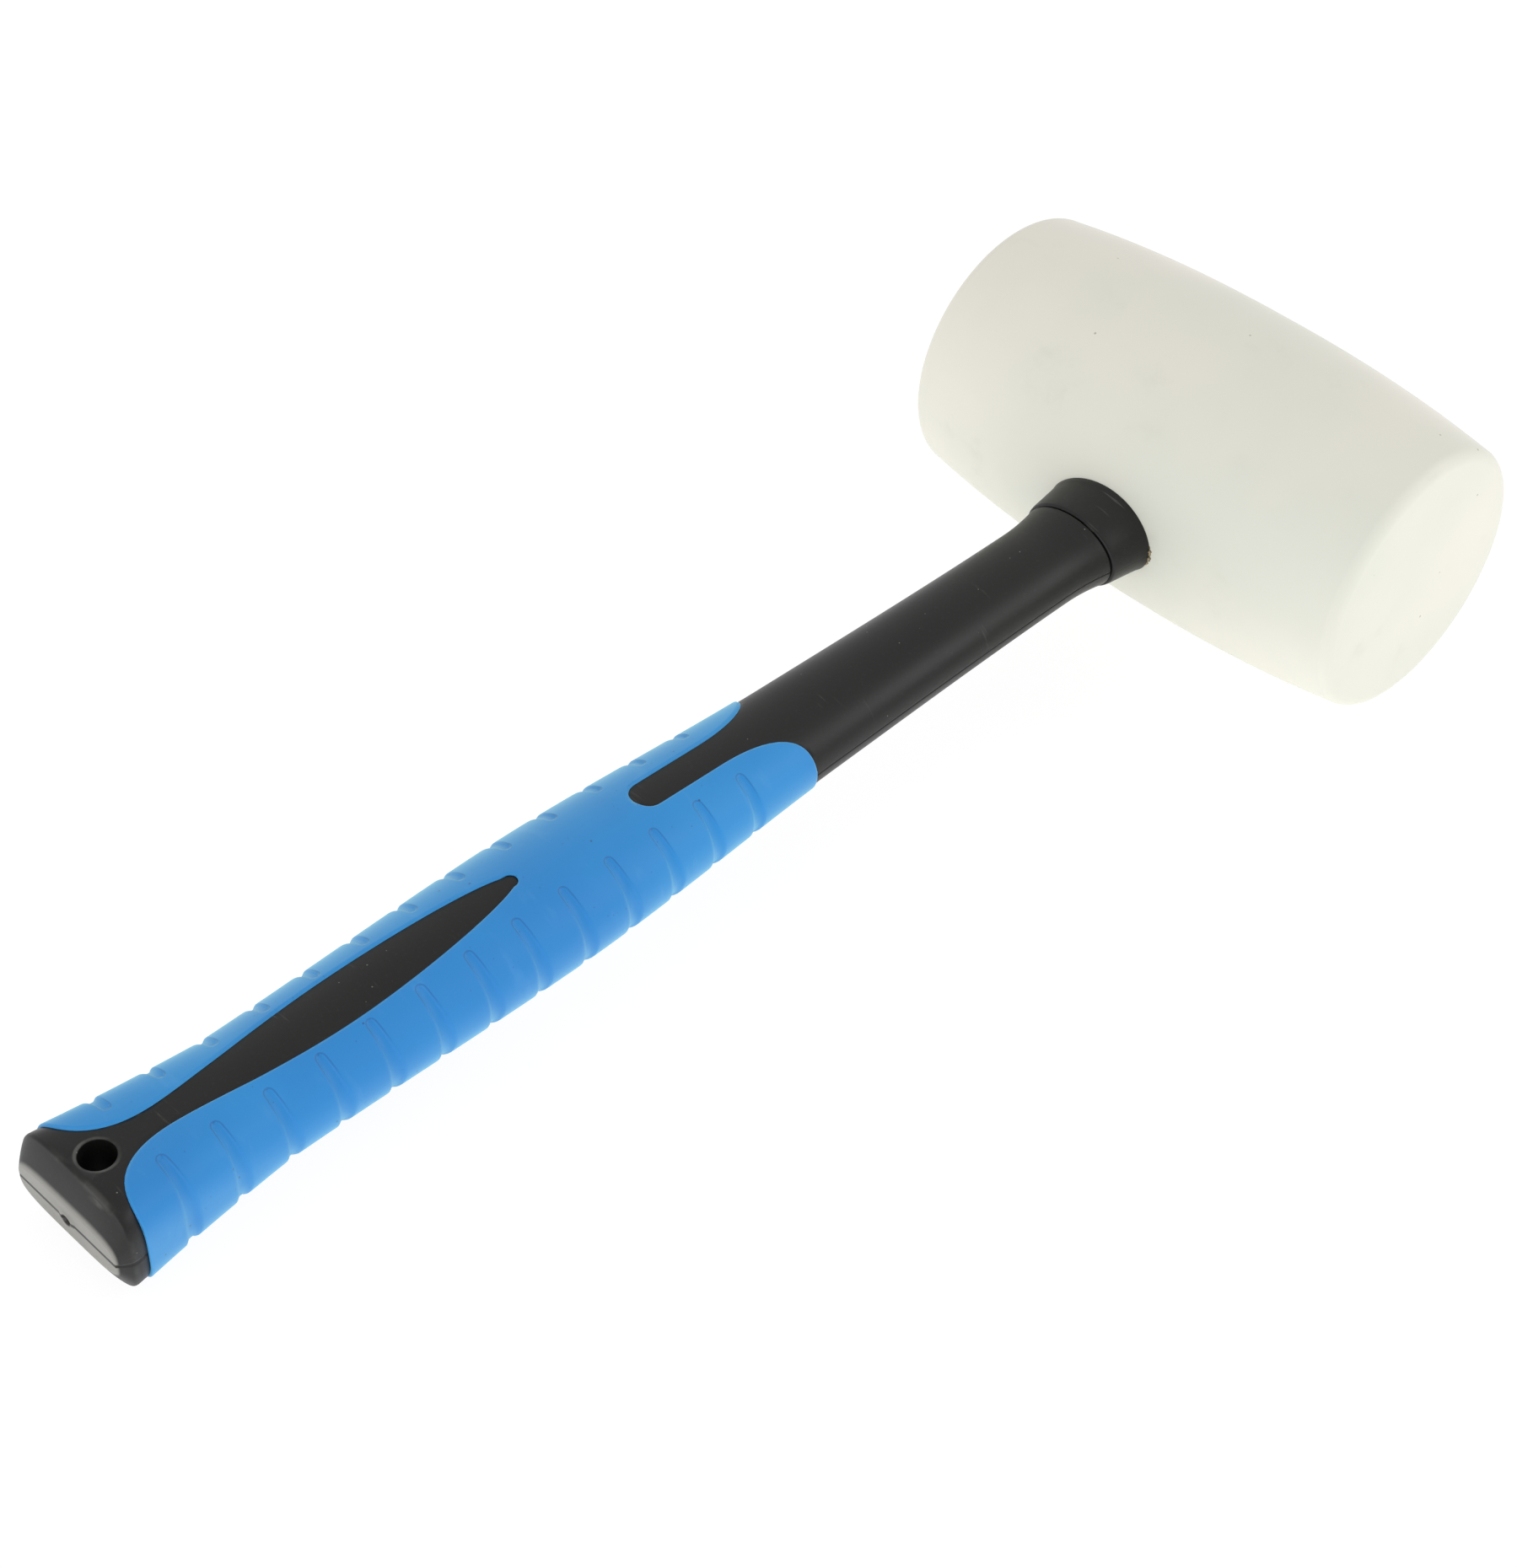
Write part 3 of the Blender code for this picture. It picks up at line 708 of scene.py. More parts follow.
def blue_soft_rubber(finish):
    sizes = bpy.context.scene.mallet_grip
    place = finish.own_place()
    cloud = finish.noise(place, 24, 4.0)
    tone = finish.blend(finish.between(cloud, 0.36, 0.68), sizes.rubber, sizes.rubber_pale)
    smear = finish.between(finish.noise(finish.own_place((90, 260, 90)), 1.0, 5.0), 0.58, 0.75)
    tone = finish.blend(smear * 0.10, tone, SMEAR_ON_GRIP)
    # Painted highlight: the blue is lightened in a thin band along each window's edge, where the grip's
    # rounded lip catches light.
    rim = finish.add("ShaderNodeAttribute", {"attribute_name": "rim"}, output="Fac")
    tone = finish.blend(rim * 0.22, tone, HIGHLIGHT_ON_WINDOW_RIM)
    crease = groove_crease_shade(finish, sizes, place)
    # Painted shade: the blue is darkened along each groove's crease.
    tone = finish.blend(crease * 0.50, tone, SHADE_IN_GROOVE_CREASE)
    tone = finish.blend(finish.specks(place, 250, 0.080, 0.50) * 0.75, tone, SPECK_ON_GRIP)
    fine_dots = finish.specks(place, 520, 0.090, 0.44)
    finish.set("Base Color", finish.blend(fine_dots * 0.60, tone, FINE_SPECK_ON_GRIP))
    finish.set("Roughness", 0.52 + (cloud - 0.5) * 0.20)
    uneven = finish.bump(finish.noise(place, 90, 3.0), 0.18, 0.0005)
    lined = finish.bump(1 - crease, 0.30, 0.00012, uneven)
    finish.set("Normal", finish.bump(finish.noise(place, 1300, 2.0), 0.10, 0.00010, lined))
    finish.set("Sheen Weight", 0.60)
    finish.set("Sheen Tint", (0.52, 1.0, 0.92))
    finish.set("Sheen Roughness", 0.48)


def cured_adhesive(finish):
    sizes = bpy.context.scene.mallet_bond
    cloud = finish.noise(finish.own_place(), 260, 4.0)
    tone = finish.blend(finish.between(cloud, 0.38, 0.56), sizes.adhesive, DARK_ADHESIVE)
    finish.set("Base Color", tone)
    finish.set("Roughness", 0.24 + cloud * 0.16)
    finish.set("Normal", finish.bump(cloud, 0.35, 0.0004))


def fibreglass(finish):
    sizes = bpy.context.scene.mallet_bond
    fibres = finish.noise(finish.own_place((4200, 90, 4200)), 1.0, 2.0)
    tone = finish.blend(finish.between(fibres, 0.40, 0.62), sizes.fibreglass, BETWEEN_FIBRES)
    finish.set("Base Color", tone)
    finish.set("Roughness", 0.42 + (fibres - 0.5) * 0.4)
    finish.set("Normal", finish.bump(fibres, 0.25, 0.0001))


FINISHES = {
    "white_rubber": white_rubber,
    "black_plastic": black_plastic,
    "blue_soft_rubber": blue_soft_rubber,
    "cured_adhesive": cured_adhesive,
    "fibreglass": fibreglass,
}


def finish_of(slot):
    """The slot's material, made when the first piece asks for it."""
    name = slot.replace("_", " ")
    if name not in bpy.data.materials:
        FINISHES[slot](Finish(name))
    return bpy.data.materials[name]


# Operators


class MALLET_OT_head(bpy.types.Operator):
    """Turn the rubber barrel and cut its eye."""

    bl_idname = "mallet.head"
    bl_label = "Rubber head"

    BARREL_STEPS = 72
    RIM_STEPS = 10
    FACE_STEPS = 5
    TURN_STEPS = 160
    EYE_GAP = 0.0014
    EYE_STEPS = 64
    EYE_OVERRUN = 1.2

    def execute(self, context):
        form = outline(self.half_outline(context.scene.mallet_head))
        turned(form, (1, 0, 0), self.TURN_STEPS)
        form = cut(form, self.eye(context.scene.mallet_handle, context.scene.mallet_head))
        finish_piece("rubber_head", form, "white_rubber", ["head"], sharp=50)
        return {"FINISHED"}

    def half_outline(self, sizes):
        half = sizes.length / 2
        rim_start = half - sizes.rim
        rim_centre = barrel_radius(sizes, rim_start) - sizes.rim
        points = [(half, rim_centre * step / self.FACE_STEPS) for step in range(self.FACE_STEPS)]
        for step in range(self.RIM_STEPS):
            angle = math.pi / 2 * step / self.RIM_STEPS
            across, up = sizes.rim * math.cos(angle), sizes.rim * math.sin(angle)
            points.append((rim_start + across, rim_centre + up))
        for step in range(self.BARREL_STEPS // 2):
            x = rim_start * (1 - 2 * step / self.BARREL_STEPS)
            points.append((x, barrel_radius(sizes, x)))
        far = [(-x, y) for x, y in reversed(points)]
        return [(x, y, 0) for x, y in points + [(0, sizes.belly / 2)] + far]

    def eye(self, handle, head):
        """Oval bar through the head along the handle, a little wider than the tenon."""
        form = bmesh.new()
        depth = head.belly * self.EYE_OVERRUN
        bmesh.ops.create_cone(
            form, cap_ends=True, segments=self.EYE_STEPS, radius1=1, radius2=1, depth=depth
        )
        wide = (handle.tenon_width / 2 + self.EYE_GAP, handle.tenon_height / 2 + self.EYE_GAP, 1)
        bmesh.ops.scale(form, vec=wide, verts=form.verts)
        bmesh.ops.rotate(form, matrix=Matrix.Rotation(math.pi / 2, 3, "X"), verts=form.verts)
        return form


class MALLET_OT_jacket(bpy.types.Operator):
    """Loft the plastic jacket: tenon, neck, bed of the grip, and butt with its hanging hole."""

    bl_idname = "mallet.jacket"
    bl_label = "Handle jacket"

    TURN_STEPS = 120
    SEAM_TURNS = (0.003, 0.012, 0.030)
    SEAM_HEIGHT = -0.00014
    SEAM_HALF_WIDTH = 0.00022
    LEAST_SEAM = 0.0040
    NECK_STEP = 0.0014
    BED_STEP = 0.0011
    BED_DEPTH = 0.0020
    BED_EDGE = 0.00035
    BED_SLOPE = 0.0013
    SHOULDER = 0.0007
    OVAL_POWER = 2.0
    BORE_GAP = 0.0003
    TENON_EASE = 0.0004
    COLLAR_GAP = 0.0002
    RIDGE_PAST_BUTT = 0.0009
    BROW = 0.0006
    CHEEK_REACH = 0.0014
    CHEEK_INSET = 0.0006
    CHEEK_DROP = 0.0030
    FACE_WIDTH = 0.972
    FACE_HEIGHT = 0.93
    # From the end face inwards: half width, half height, lift and power of each ring
    GATE_ROWS = (
        (0.0100, 0.0036, 0.0, 2.6),
        (0.0060, 0.0027, 0.0, 2.3),
        (0.0024, 0.0019, 0.0, 2.0),
        (0.0016, 0.0014, 0.00022, 2.0),
        (0.0013, 0.0011, 0.00016, 2.0),
        (0.0010, 0.0009, -0.00035, 2.0),
        (0.0004, 0.0004, -0.00045, 2.0),
        (0.0, 0.0, -0.00045, 2.0),
    )
    HOLE_STEPS = 72
    HOLE_EASE = 0.0004
    HOLE_EASE_STEPS = 6
    HOLE_FLARE = 1.6
    HOLE_LIFT = 0.00005

    def execute(self, context):
        sizes = context.scene.mallet_handle
        handle = Handle(sizes)
        windows = Windows(context.scene.mallet_grip, sizes)
        core = self.core_sections(sizes)
        sections = core + self.body_sections(handle) + self.end_sections(handle)
        turns = self.turns()

        def place(row, column):
            section = sections[row]
            turn = turns[column % len(turns)]
            point = section_point(section, turn)
            if row < len(core) or section[2] < self.LEAST_SEAM:
                return point
            grow = self.SEAM_HEIGHT * max(0.0, 1 - abs(point.z) / self.SEAM_HALF_WIDTH)
            if sizes.neck_end_reach < section[0] < sizes.butt_reach:
                under = windows.depth(point.x, section[0])
                bed = -self.BED_DEPTH * smooth_step(self.BED_EDGE, self.BED_EDGE + self.BED_SLOPE, under)
                grow = min(grow, bed)
            return section_point(section, turn, grow)

        form = sheet(len(sections) - 1, len(turns), place)
        close(form)
        form = cut(form, self.hole(handle))
        finish_piece("handle_shell", form, "black_plastic", ["handle_jacket"], sharp=55)
        return {"FINISHED"}

    def turns(self):
        turns = [math.tau * step / self.TURN_STEPS for step in range(self.TURN_STEPS)]
        for seam in (0.0, math.pi):
            for offset in self.SEAM_TURNS:
                turns += [(seam + offset) % math.tau, (seam - offset) % math.tau]
        return sorted(turns)

    def core_sections(self, sizes):
        """The rod's bore from its blind end, the tenon's end and the tenon."""
        bore = sizes.rod / 2 + self.BORE_GAP
        blind_end = sizes.rod_reach + self.BORE_GAP
        ease = self.TENON_EASE
        top = -sizes.tenon_top
        half_width, half_height = sizes.tenon_width / 2, sizes.tenon_height / 2
        rows = [
            (blind_end, 0.0, 0.0),
            (blind_end, bore, bore),
            (top + ease, bore, bore),
            (top, bore + ease, bore + ease),
            (top, half_width - ease, half_height - ease),
            (top + ease, half_width, half_height),
            (sizes.collar_reach - self.COLLAR_GAP, half_width, half_height),
        ]
        return [Vector((*row, self.OVAL_POWER)) for row in rows]

    def body_sections(self, handle):
        sizes = handle.sizes
        lip = handle.section(sizes.collar_reach)
        inside = Vector((lip[0], lip[1] - self.SHOULDER, lip[2] - self.SHOULDER, lip[3]))
        outside = handle.section(sizes.collar_reach + self.SHOULDER)
        rows = rounded(inside, lip, outside, 4)
        reach = sizes.collar_reach + self.SHOULDER
        while reach < sizes.butt_reach - 2 * self.BED_STEP:
            reach += self.NECK_STEP if reach < sizes.neck_end_reach else self.BED_STEP
            rows.append(handle.section(reach))
        return rows

    def end_sections(self, handle):
        """The butt's soft ridges, its end face and the gate mark in the middle of that."""
        sizes = handle.sizes
        reach, square = sizes.end_reach, sizes.butt_square
        ridge = handle.section(sizes.butt_reach + self.RIDGE_PAST_BUTT)
        brow = handle.section(ridge[0] - self.BROW)
        cheek_width, cheek_height = ridge[1] - self.CHEEK_INSET, ridge[2] - self.CHEEK_DROP
        cheek = Vector((reach - self.CHEEK_REACH, cheek_width, cheek_height, square))
        end = Vector((reach, sizes.end_width / 2, sizes.end_height / 2, square))
        face = Vector((reach, end[1] * self.FACE_WIDTH, end[2] * self.FACE_HEIGHT, square))
        rows = rounded(brow, ridge, ridge.lerp(cheek, 0.15), 5)
        rows += rounded(ridge.lerp(cheek, 0.2), cheek, cheek.lerp(end, 0.90), 10)
        rows += rounded(cheek.lerp(end, 0.92), end, face, 6)
        for half_width, half_height, lift, power in self.GATE_ROWS:
            rows.append(Vector((reach + lift, half_width, half_height, power)))
        return rows

    def hole(self, handle):
        """Cutter for the hanging hole, flared so that both rims are eased."""
        sizes = handle.sizes
        radius, surface = sizes.hole / 2, handle.width(sizes.hole_reach) / 2 / sizes.flatness
        upper = [(radius + self.HOLE_EASE * self.HOLE_FLARE, surface + self.HOLE_EASE)]
        for step in range(self.HOLE_EASE_STEPS + 1):
            angle = math.pi / 2 * step / self.HOLE_EASE_STEPS
            out = self.HOLE_EASE * (1 - math.sin(angle))
            down = self.HOLE_EASE * (1 - math.cos(angle))
            upper.append((radius + out, surface - down + self.HOLE_LIFT))
        lower = [(r, -z) for r, z in reversed(upper)]
        profile = [(0, upper[0][1])] + upper + lower + [(0, lower[-1][1])]
        form = outline([(r, 0, z) for r, z in profile])
        turned(form, (0, 0, 1), self.HOLE_STEPS)
        bmesh.ops.translate(form, vec=(0, -sizes.hole_reach, 0), verts=form.verts)
        return form


class MALLET_OT_collar(bpy.types.Operator):
    """Model the collar that seats on the belly of the head."""

    bl_idname = "mallet.collar"
    bl_label = "Neck collar"

    TURN_STEPS = 160
    SEAT = 0.00025
    FOOT_GAP = 0.0001
    BORE_GAP = 0.0003
    # Inset and offset of the rings round the edge that meets the head
    RIM_ROWS = ((0.0012, 0.0), (0.0004, 0.0), (0.0001, 0.0002), (0.0, 0.0006))
    WALL_PARTS = (0.15, 0.3, 0.45, 0.6, 0.75, 0.88)
    FLARE_POWER = 0.85
    EASE = 0.0006
    EASE_STEPS = 4

    def execute(self, context):
        sizes, head = context.scene.mallet_handle, context.scene.mallet_head
        foot = sizes.collar_reach - self.FOOT_GAP
        bore = (sizes.tenon_width / 2 + self.BORE_GAP, sizes.tenon_height / 2 + self.BORE_GAP)
        rim = (sizes.collar_head / 2, sizes.collar_head / 2 / sizes.flatness)
        lip = (sizes.collar_foot / 2, sizes.collar_foot / 2 / sizes.flatness)
        profile = self.profile(bore, rim, lip)

        def place(row, column):
            half_width, half_height, part, offset = profile[row % len(profile)]
            turn = math.tau * (column % self.TURN_STEPS) / self.TURN_STEPS
            x, z = half_width * math.cos(turn), half_height * math.sin(turn)
            seat = seat_reach(head, x, z) - self.SEAT
            return Vector((x, -(seat + (foot - seat) * part + offset), z))

        form = sheet(len(profile), self.TURN_STEPS, place)
        close(form)
        finish_piece("neck_ring", form, "black_plastic", ["neck_collar"], sharp=55)
        return {"FINISHED"}

    def profile(self, bore, rim, lip):
        """Round the ring's wall: (half width, half height, part of the way to the foot, offset)."""
        rows = [(*bore, 0.0, 0.0)]
        for inset, offset in self.RIM_ROWS:
            rows.append((rim[0] - inset, rim[1] - inset, 0.0, offset))
        for part in self.WALL_PARTS:
            flare = part**self.FLARE_POWER
            wall = [wide + (narrow - wide) * flare for wide, narrow in zip(rim, lip)]
            rows.append((*wall, part, 0.0))
        for step in range(self.EASE_STEPS + 1):
            angle = math.pi / 2 * step / self.EASE_STEPS
            inset = self.EASE * (1 - math.cos(angle))
            rows.append((lip[0] - inset, lip[1] - inset, 1.0, self.EASE * (math.sin(angle) - 1)))
        rows.append((*bore, 1.0, 0.0))
        return rows


class MALLET_OT_bead(bpy.types.Operator):
    """Model the bead of adhesive that was squeezed out beside the collar."""

    bl_idname = "mallet.bead"
    bl_label = "Adhesive bead"

    TURN_START = -0.34
    TURN_END = 0.24
    STEPS = 48
    ROUND_STEPS = 16
    THICKNESS = 0.00062
    EVEN_PART = 0.62
    # Waves along the bead: height, angle that they run through and angle at which they start
    LUMPS = ((0.25, 19, 0), (0.20, 41, 1))

    def execute(self, context):
        sizes, head = context.scene.mallet_handle, context.scene.mallet_head
        half_width = sizes.collar_head / 2
        half_height = half_width / sizes.flatness

        def place(row, column):
            part = row / self.STEPS
            turn = self.TURN_START + (self.TURN_END - self.TURN_START) * part
            x, z = half_width * math.cos(turn), half_height * math.sin(turn)
            seat = seat_reach(head, x, z)
            lumps = self.EVEN_PART
            for height, run, start in self.LUMPS:
                lumps += height * math.sin(run * part + start)
            thick = self.THICKNESS * math.sqrt(max(1 - (2 * part - 1) ** 2, 0.0)) * lumps
            angle = math.tau * (column % self.ROUND_STEPS) / self.ROUND_STEPS
            out, along = thick * math.cos(angle), thick * math.sin(angle)
            return Vector((x + out * math.cos(turn), -(seat + along), z + out * math.sin(turn)))

        form = sheet(self.STEPS, self.ROUND_STEPS, place)
        close(form)
        finish_piece("adhesive_bead", form, "cured_adhesive")
        return {"FINISHED"}


class MALLET_OT_grip(bpy.types.Operator):
    """Model the soft grip with its windows and finger grooves."""

    bl_idname = "mallet.grip"
    bl_label = "Soft grip"

    GROOVE_ROWS = (-1.25, -1.06, -0.9, -0.7, -0.45, 0.0, 0.45, 0.7, 0.9, 1.06, 1.25)
    EDGE_ROWS = (0.0, 0.03, 0.1, 0.22, 0.4, 0.65, 1.0, 1.5, 2.2, 3.2, 4.4)
    ROW_STEP = 0.0017
    LEAST_STEP = 0.00002
    EDGE_COLUMNS = 14
    EDGE_CROWDING = 1.7
    GROOVE_END_COLUMNS = 10
    GROOVE_END_START = 0.38
    GROOVE_END_STOP = 0.62
    SIDE_COLUMNS = 14
    # How far the columns at a groove's end go on either side of it, in half widths of that end
    BEFORE_GROOVE = 0.7
    PAST_GROOVE = 1.8
    # The most that their turns may be, as shares of the turn of the window's edge
    MOST_BEFORE = 0.82
    MOST_PAST = 0.58
    EDGE_TRIES = 4
    LIP = 0.00044
    # Width of the painted highlight along each window's edge
    RIM_HIGHLIGHT_WIDTH = 0.0006
    WALL_START = 0.52
    WALL_END = 1.06
    WALL_SOFTNESS = 0.14
    INNER_EDGE = 0.0005
    INNER_SLOPE = 0.0014
    INNER_GAP = 0.00002

    def execute(self, context):
        self.sizes = context.scene.mallet_grip
        self.handle = Handle(context.scene.mallet_handle)
        self.windows = Windows(self.sizes, context.scene.mallet_handle)
        rows = self.rows()
        upper = self.columns()
        columns = [(part, 1) for part in upper] + [(part, -1) for part in reversed(upper[:-1])]
        form = sheet(len(rows) - 1, len(columns) - 1, lambda row, column: Vector((row, column, 0)))
        reach_layer = form.verts.layers.float.new("reach")
        turn_layer = form.verts.layers.float.new("turn")
        rim_highlight_layer = form.verts.layers.float.new("rim")
        edges = [self.edge_turn(row) for row in rows]
        for corner in form.verts:
            row, column = round(corner.co.x), round(corner.co.y)
            part, way = columns[column]
            turn = self.column_turn(rows[row], edges[row], part)
            reach = self.bent_reach(rows[row], turn)
            corner[reach_layer] = reach
            corner[turn_layer] = turn * way
            corner.co = self.outer(reach, turn * way)
            from_edge = self.windows.depth(corner.co.x, reach)
            # The rim attribute marks the band that the material lightens as a painted highlight along
            # the window's edge.
            corner[rim_highlight_layer] = 1 - smooth_step(0.0, self.RIM_HIGHLIGHT_WIDTH, from_edge)
        whole = form.verts[:] + form.edges[:] + form.faces[:]
        bmesh.ops.mirror(form, geom=whole, axis="X", merge_dist=WELD)
        close(form)
        skin = form.faces[:] + form.edges[:]
        wall = bmesh.ops.extrude_face_region(form, geom=skin, use_keep_orig=True)
        for corner in wall["geom"]:
            if isinstance(corner, bmesh.types.BMVert):
                side = -1 if corner.co.x < 0 else 1
                inner = self.inner(corner[reach_layer], corner[turn_layer])
                corner.co = Vector((inner.x * side, inner.y, inner.z))
        close(form)
        finish_piece("grip_skin", form, "blue_soft_rubber", ["grip_sleeve"], sharp=70)
        return {"FINISHED"}

    def rows(self):
        """Rows from lobe to butt as (reach on top, reach at the side), close together at every edge."""
        grip = self.sizes
        knots = [(grip.lobe_reach, grip.lobe_reach)]
        for groove in range(grip.grooves):
            middle = grip.first_groove + grip.groove_pitch * groove
            for part in self.GROOVE_ROWS:
                knots.append((middle + part * grip.groove_end, middle + part * grip.groove_side))
        knots.append((grip.end_reach, grip.end_reach))
        tops = [top for top, side in knots]
        for start, end in zip(tops[:], tops[1:]):
            steps = math.ceil((end - start) / self.ROW_STEP)
            tops += [start + (end - start) * step / steps for step in range(1, steps)]
        for offset in self.EDGE_ROWS:
            tops += [grip.lobe_reach + offset * MILLIMETRE, grip.slot_end_reach - offset * MILLIMETRE]
            tops += [grip.leaf_tip_reach + offset * MILLIMETRE, grip.end_reach - offset * MILLIMETRE]
        tops.sort()
        rows = []
        for top in tops:
            if rows and top - rows[-1][0] < self.LEAST_STEP:
                continue
            rows.append((top, Windows.look_up(knots, top)))
        return rows

    def columns(self):
        """Columns from a window's edge, 0, to the side of the handle, 1."""
        start, stop = self.GROOVE_END_START, self.GROOVE_END_STOP
        parts = []
        for step in range(self.EDGE_COLUMNS):
            parts.append(start * (step / self.EDGE_COLUMNS) ** self.EDGE_CROWDING)
        for step in range(self.GROOVE_END_COLUMNS):
            parts.append(start + (stop - start) * step / self.GROOVE_END_COLUMNS)
        for step in range(self.SIDE_COLUMNS + 1):
            parts.append(stop + (1 - stop) * step / self.SIDE_COLUMNS)
        return parts

    def side_share(self, section, turn):
        """0 on top, past a groove's end, and 1 at the side."""
        end = turn_at(section, self.sizes.groove_inset, self.sizes.proud)
        return smooth_step(0.0, 1.0, (end - abs(turn)) / end)

    def bent_reach(self, row, turn):
        top, side = row
        return top + (side - top) * self.side_share(self.handle.section(top), turn)

    def edge_turn(self, row):
        """Turn at which a row meets a window's edge."""
        reach = row[0]
        for _ in range(self.EDGE_TRIES):
            section = self.handle.section(reach)
            turn = turn_at(section, self.windows.edge(reach), self.sizes.proud)
            reach = self.bent_reach(row, turn)
        return turn

    def column_turn(self, row, edge, part):
        """Turn of a column: columns crowd at the window's edge and at the grooves' ends."""
        section = self.handle.section(row[0])
        inset, end = self.sizes.groove_inset, self.sizes.groove_end
        before = min(turn_at(section, inset - end * self.BEFORE_GROOVE), edge * self.MOST_BEFORE)
        past = min(turn_at(section, inset + end * self.PAST_GROOVE), edge * self.MOST_PAST)
        start, stop = self.GROOVE_END_START, self.GROOVE_END_STOP
        return Windows.look_up(((0.0, edge), (start, before), (stop, past), (1.0, 0.0)), part)

    def groove(self, reach, turn, x):
        """Depth of the groove here."""
        grip = self.sizes
        groove = round((reach - grip.first_groove) / grip.groove_pitch)
        inside = abs(x) - grip.groove_inset
        if inside <= 0 or not 0 <= groove < grip.grooves:
            return 0.0
        part = self.side_share(self.handle.section(reach), turn)
        half = grip.groove_end + (grip.groove_side - grip.groove_end) * part
        if inside < grip.groove_end:
            half *= math.sqrt(1 - (1 - inside / grip.groove_end) ** 2)
        offset = abs(reach - grip.first_groove - grip.groove_pitch * groove)
        soft = self.WALL_SOFTNESS * part
        wall = smooth_step((self.WALL_START - 2 * soft) * half, (self.WALL_END + soft) * half, offset)
        deep = grip.groove_end_depth + (grip.groove_side_depth - grip.groove_end_depth) * part
        return deep * (1 - wall)

    def outer(self, reach, turn):
        section = self.handle.section(reach)
        point = section_point(section, turn)
        from_edge = max(self.windows.depth(point.x, reach), 0.0)
        lift = self.sizes.proud
        if from_edge < self.LIP:
            lift -= self.LIP - math.sqrt(self.LIP**2 - (self.LIP - from_edge) ** 2)
        return section_point(section, turn, lift - self.groove(reach, turn, point.x))

    def inner(self, reach, turn):
        section = self.handle.section(reach)
        from_edge = max(self.windows.depth(section_point(section, turn).x, reach), 0.0)
        sunk = smooth_step(self.INNER_EDGE, self.INNER_EDGE + self.INNER_SLOPE, from_edge)
        gap = -self.INNER_GAP if from_edge == 0 else self.INNER_GAP
        return section_point(section, turn, gap - self.sizes.wall * sunk)


class MALLET_OT_eye_finish(bpy.types.Operator):
    """Finish the core and the adhesive that show in the eye of the head."""

    bl_idname = "mallet.eye_finish"
    bl_label = "Core and adhesive"

    def execute(self, context):
        for node, slot in (("core_rod", "fibreglass"), ("eye_bond", "cured_adhesive")):
            materials = frame["nodes"][node].data.materials
            materials.clear()
            materials.append(finish_of(slot))
        return {"FINISHED"}


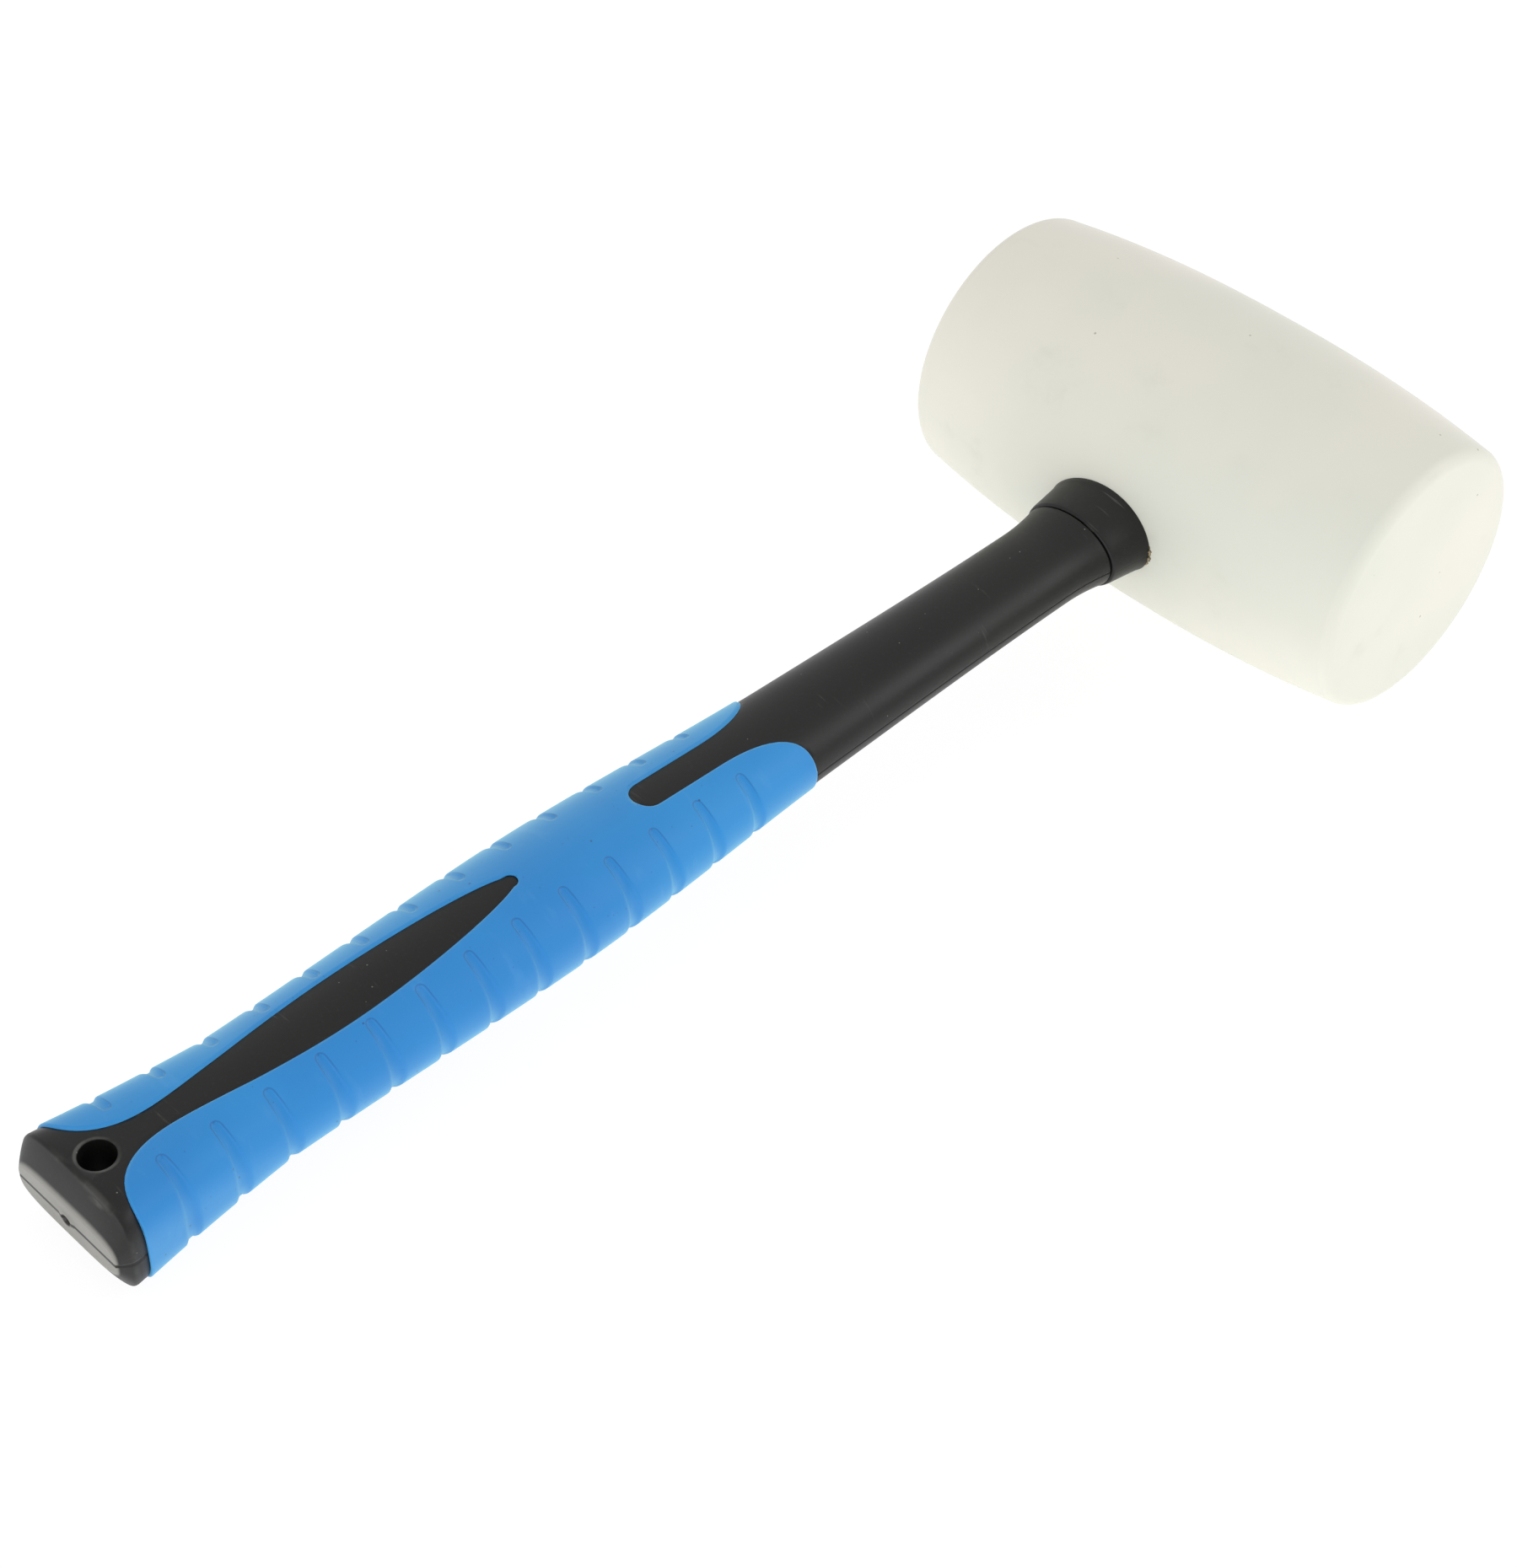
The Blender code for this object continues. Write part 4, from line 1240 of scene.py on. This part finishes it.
class MALLET_OT_stage(bpy.types.Operator):
    """Lay the pale floor, light it and set the camera."""

    bl_idname = "mallet.stage"
    bl_label = "Floor, light and camera"

    FLOOR_SIZE = 6.0
    FLOOR_ROUGHNESS = 0.9
    WHITE_SHARE = 0.88
    SENSOR_WIDTH = 36.0
    CLIP_START = 0.01
    CAMERA_PLACE = (0.324202, -0.369786, 0.443556)
    CAMERA_TURN = (48.7689, -4.3127, 45.1596)
    LAMPS = (
        ("key lamp", (0.58, 0.68, 0.64), 0.5, "key"),
        ("fill lamp", (0.24, -1.06, 0.22), 0.8, "fill"),
    )

    def execute(self, context):
        sizes = context.scene.mallet_stage
        self.lay_floor(sizes)
        self.light_world(context.scene, sizes)
        for name, place, width, power in self.LAMPS:
            self.hang_lamp(name, place, width, getattr(sizes, power))
        self.set_camera(context.scene, sizes)
        context.scene.view_settings.view_transform = "Standard"
        return {"FINISHED"}

    def lay_floor(self, sizes):
        form = bmesh.new()
        bmesh.ops.create_grid(form, x_segments=1, y_segments=1, size=self.FLOOR_SIZE / 2)
        floor = as_object("floor", form)
        finish = Finish("pale floor")
        finish.set("Base Color", sizes.floor)
        finish.set("Roughness", self.FLOOR_ROUGHNESS)
        finish.set("Specular IOR Level", 0.0)
        finish.set("Emission Color", (1.0, 1.0, 1.0))
        finish.set("Emission Strength", sizes.glow)
        seen = finish.add("ShaderNodeLightPath", output="Is Camera Ray")
        white = finish.add("ShaderNodeEmission", {}, {"Color": (1, 1, 1), "Strength": 1.0})
        matt = Number(finish, finish.shader.outputs["BSDF"])
        both = finish.add("ShaderNodeMixShader", {}, {0: seen * self.WHITE_SHARE, 1: matt, 2: white})
        finish.feed(finish.tree.nodes["Material Output"].inputs["Surface"], both)
        floor.data.materials.append(finish.material)

    def light_world(self, scene, sizes):
        scene.world = bpy.data.worlds.new("soft white room")
        scene.world.use_nodes = True
        graph = Graph(scene.world.node_tree)
        seen = graph.add("ShaderNodeLightPath", output="Is Camera Ray")
        background = graph.tree.nodes["Background"]
        graph.feed(background.inputs["Color"], (1.0, 1.0, 1.0))
        graph.feed(background.inputs["Strength"], seen * (1 - sizes.sky) + sizes.sky)

    def hang_lamp(self, name, place, width, power):
        lamp = bpy.data.lights.new(name, "AREA")
        lamp.shape = "DISK"
        lamp.size = width
        lamp.energy = power
        obj = bpy.data.objects.new(name, lamp)
        obj.location = place
        obj.rotation_euler = (-Vector(place)).to_track_quat("-Z", "Y").to_euler()
        bpy.context.scene.collection.objects.link(obj)

    def set_camera(self, scene, sizes):
        camera = bpy.data.cameras.new("camera")
        camera.lens = sizes.lens
        camera.sensor_width = self.SENSOR_WIDTH
        camera.clip_start = self.CLIP_START
        obj = bpy.data.objects.new("camera", camera)
        obj.location = self.CAMERA_PLACE
        obj.rotation_euler = Euler([math.radians(angle) for angle in self.CAMERA_TURN], "XYZ")
        scene.collection.objects.link(obj)
        scene.camera = obj


class MALLET_PT_sidebar(bpy.types.Panel):
    """The mallet's pieces and their sizes."""

    bl_idname = "MALLET_PT_sidebar"
    bl_label = "Rubber mallet"
    bl_space_type = "VIEW_3D"
    bl_region_type = "UI"
    bl_category = "Mallet"

    def draw(self, context):
        for operator in OPERATORS:
            self.layout.operator(operator.bl_idname)
        for name in GROUPS:
            box = self.layout.box()
            group = getattr(context.scene, name)
            for setting in group.bl_rna.properties.keys():
                if setting not in ("rna_type", "name"):
                    box.prop(group, setting)


GROUPS = {
    "mallet_head": MALLET_PG_head,
    "mallet_handle": MALLET_PG_handle,
    "mallet_grip": MALLET_PG_grip,
    "mallet_bond": MALLET_PG_bond,
    "mallet_stage": MALLET_PG_stage,
}
OPERATORS = (
    MALLET_OT_head,
    MALLET_OT_jacket,
    MALLET_OT_collar,
    MALLET_OT_bead,
    MALLET_OT_grip,
    MALLET_OT_eye_finish,
    MALLET_OT_stage,
)


def register():
    for name, group in GROUPS.items():
        bpy.utils.register_class(group)
        setattr(bpy.types.Scene, name, PointerProperty(type=group))
    for kind in (*OPERATORS, MALLET_PT_sidebar):
        bpy.utils.register_class(kind)


def unregister():
    for kind in (MALLET_PT_sidebar, *reversed(OPERATORS)):
        bpy.utils.unregister_class(kind)
    for name, group in reversed(GROUPS.items()):
        delattr(bpy.types.Scene, name)
        bpy.utils.unregister_class(group)


def main():
    register()
    bpy.ops.mallet.head()
    bpy.ops.mallet.jacket()
    bpy.ops.mallet.collar()
    bpy.ops.mallet.bead()
    bpy.ops.mallet.grip()
    bpy.ops.mallet.eye_finish()
    bpy.ops.mallet.stage()


if __name__ == "__main__":
    main()
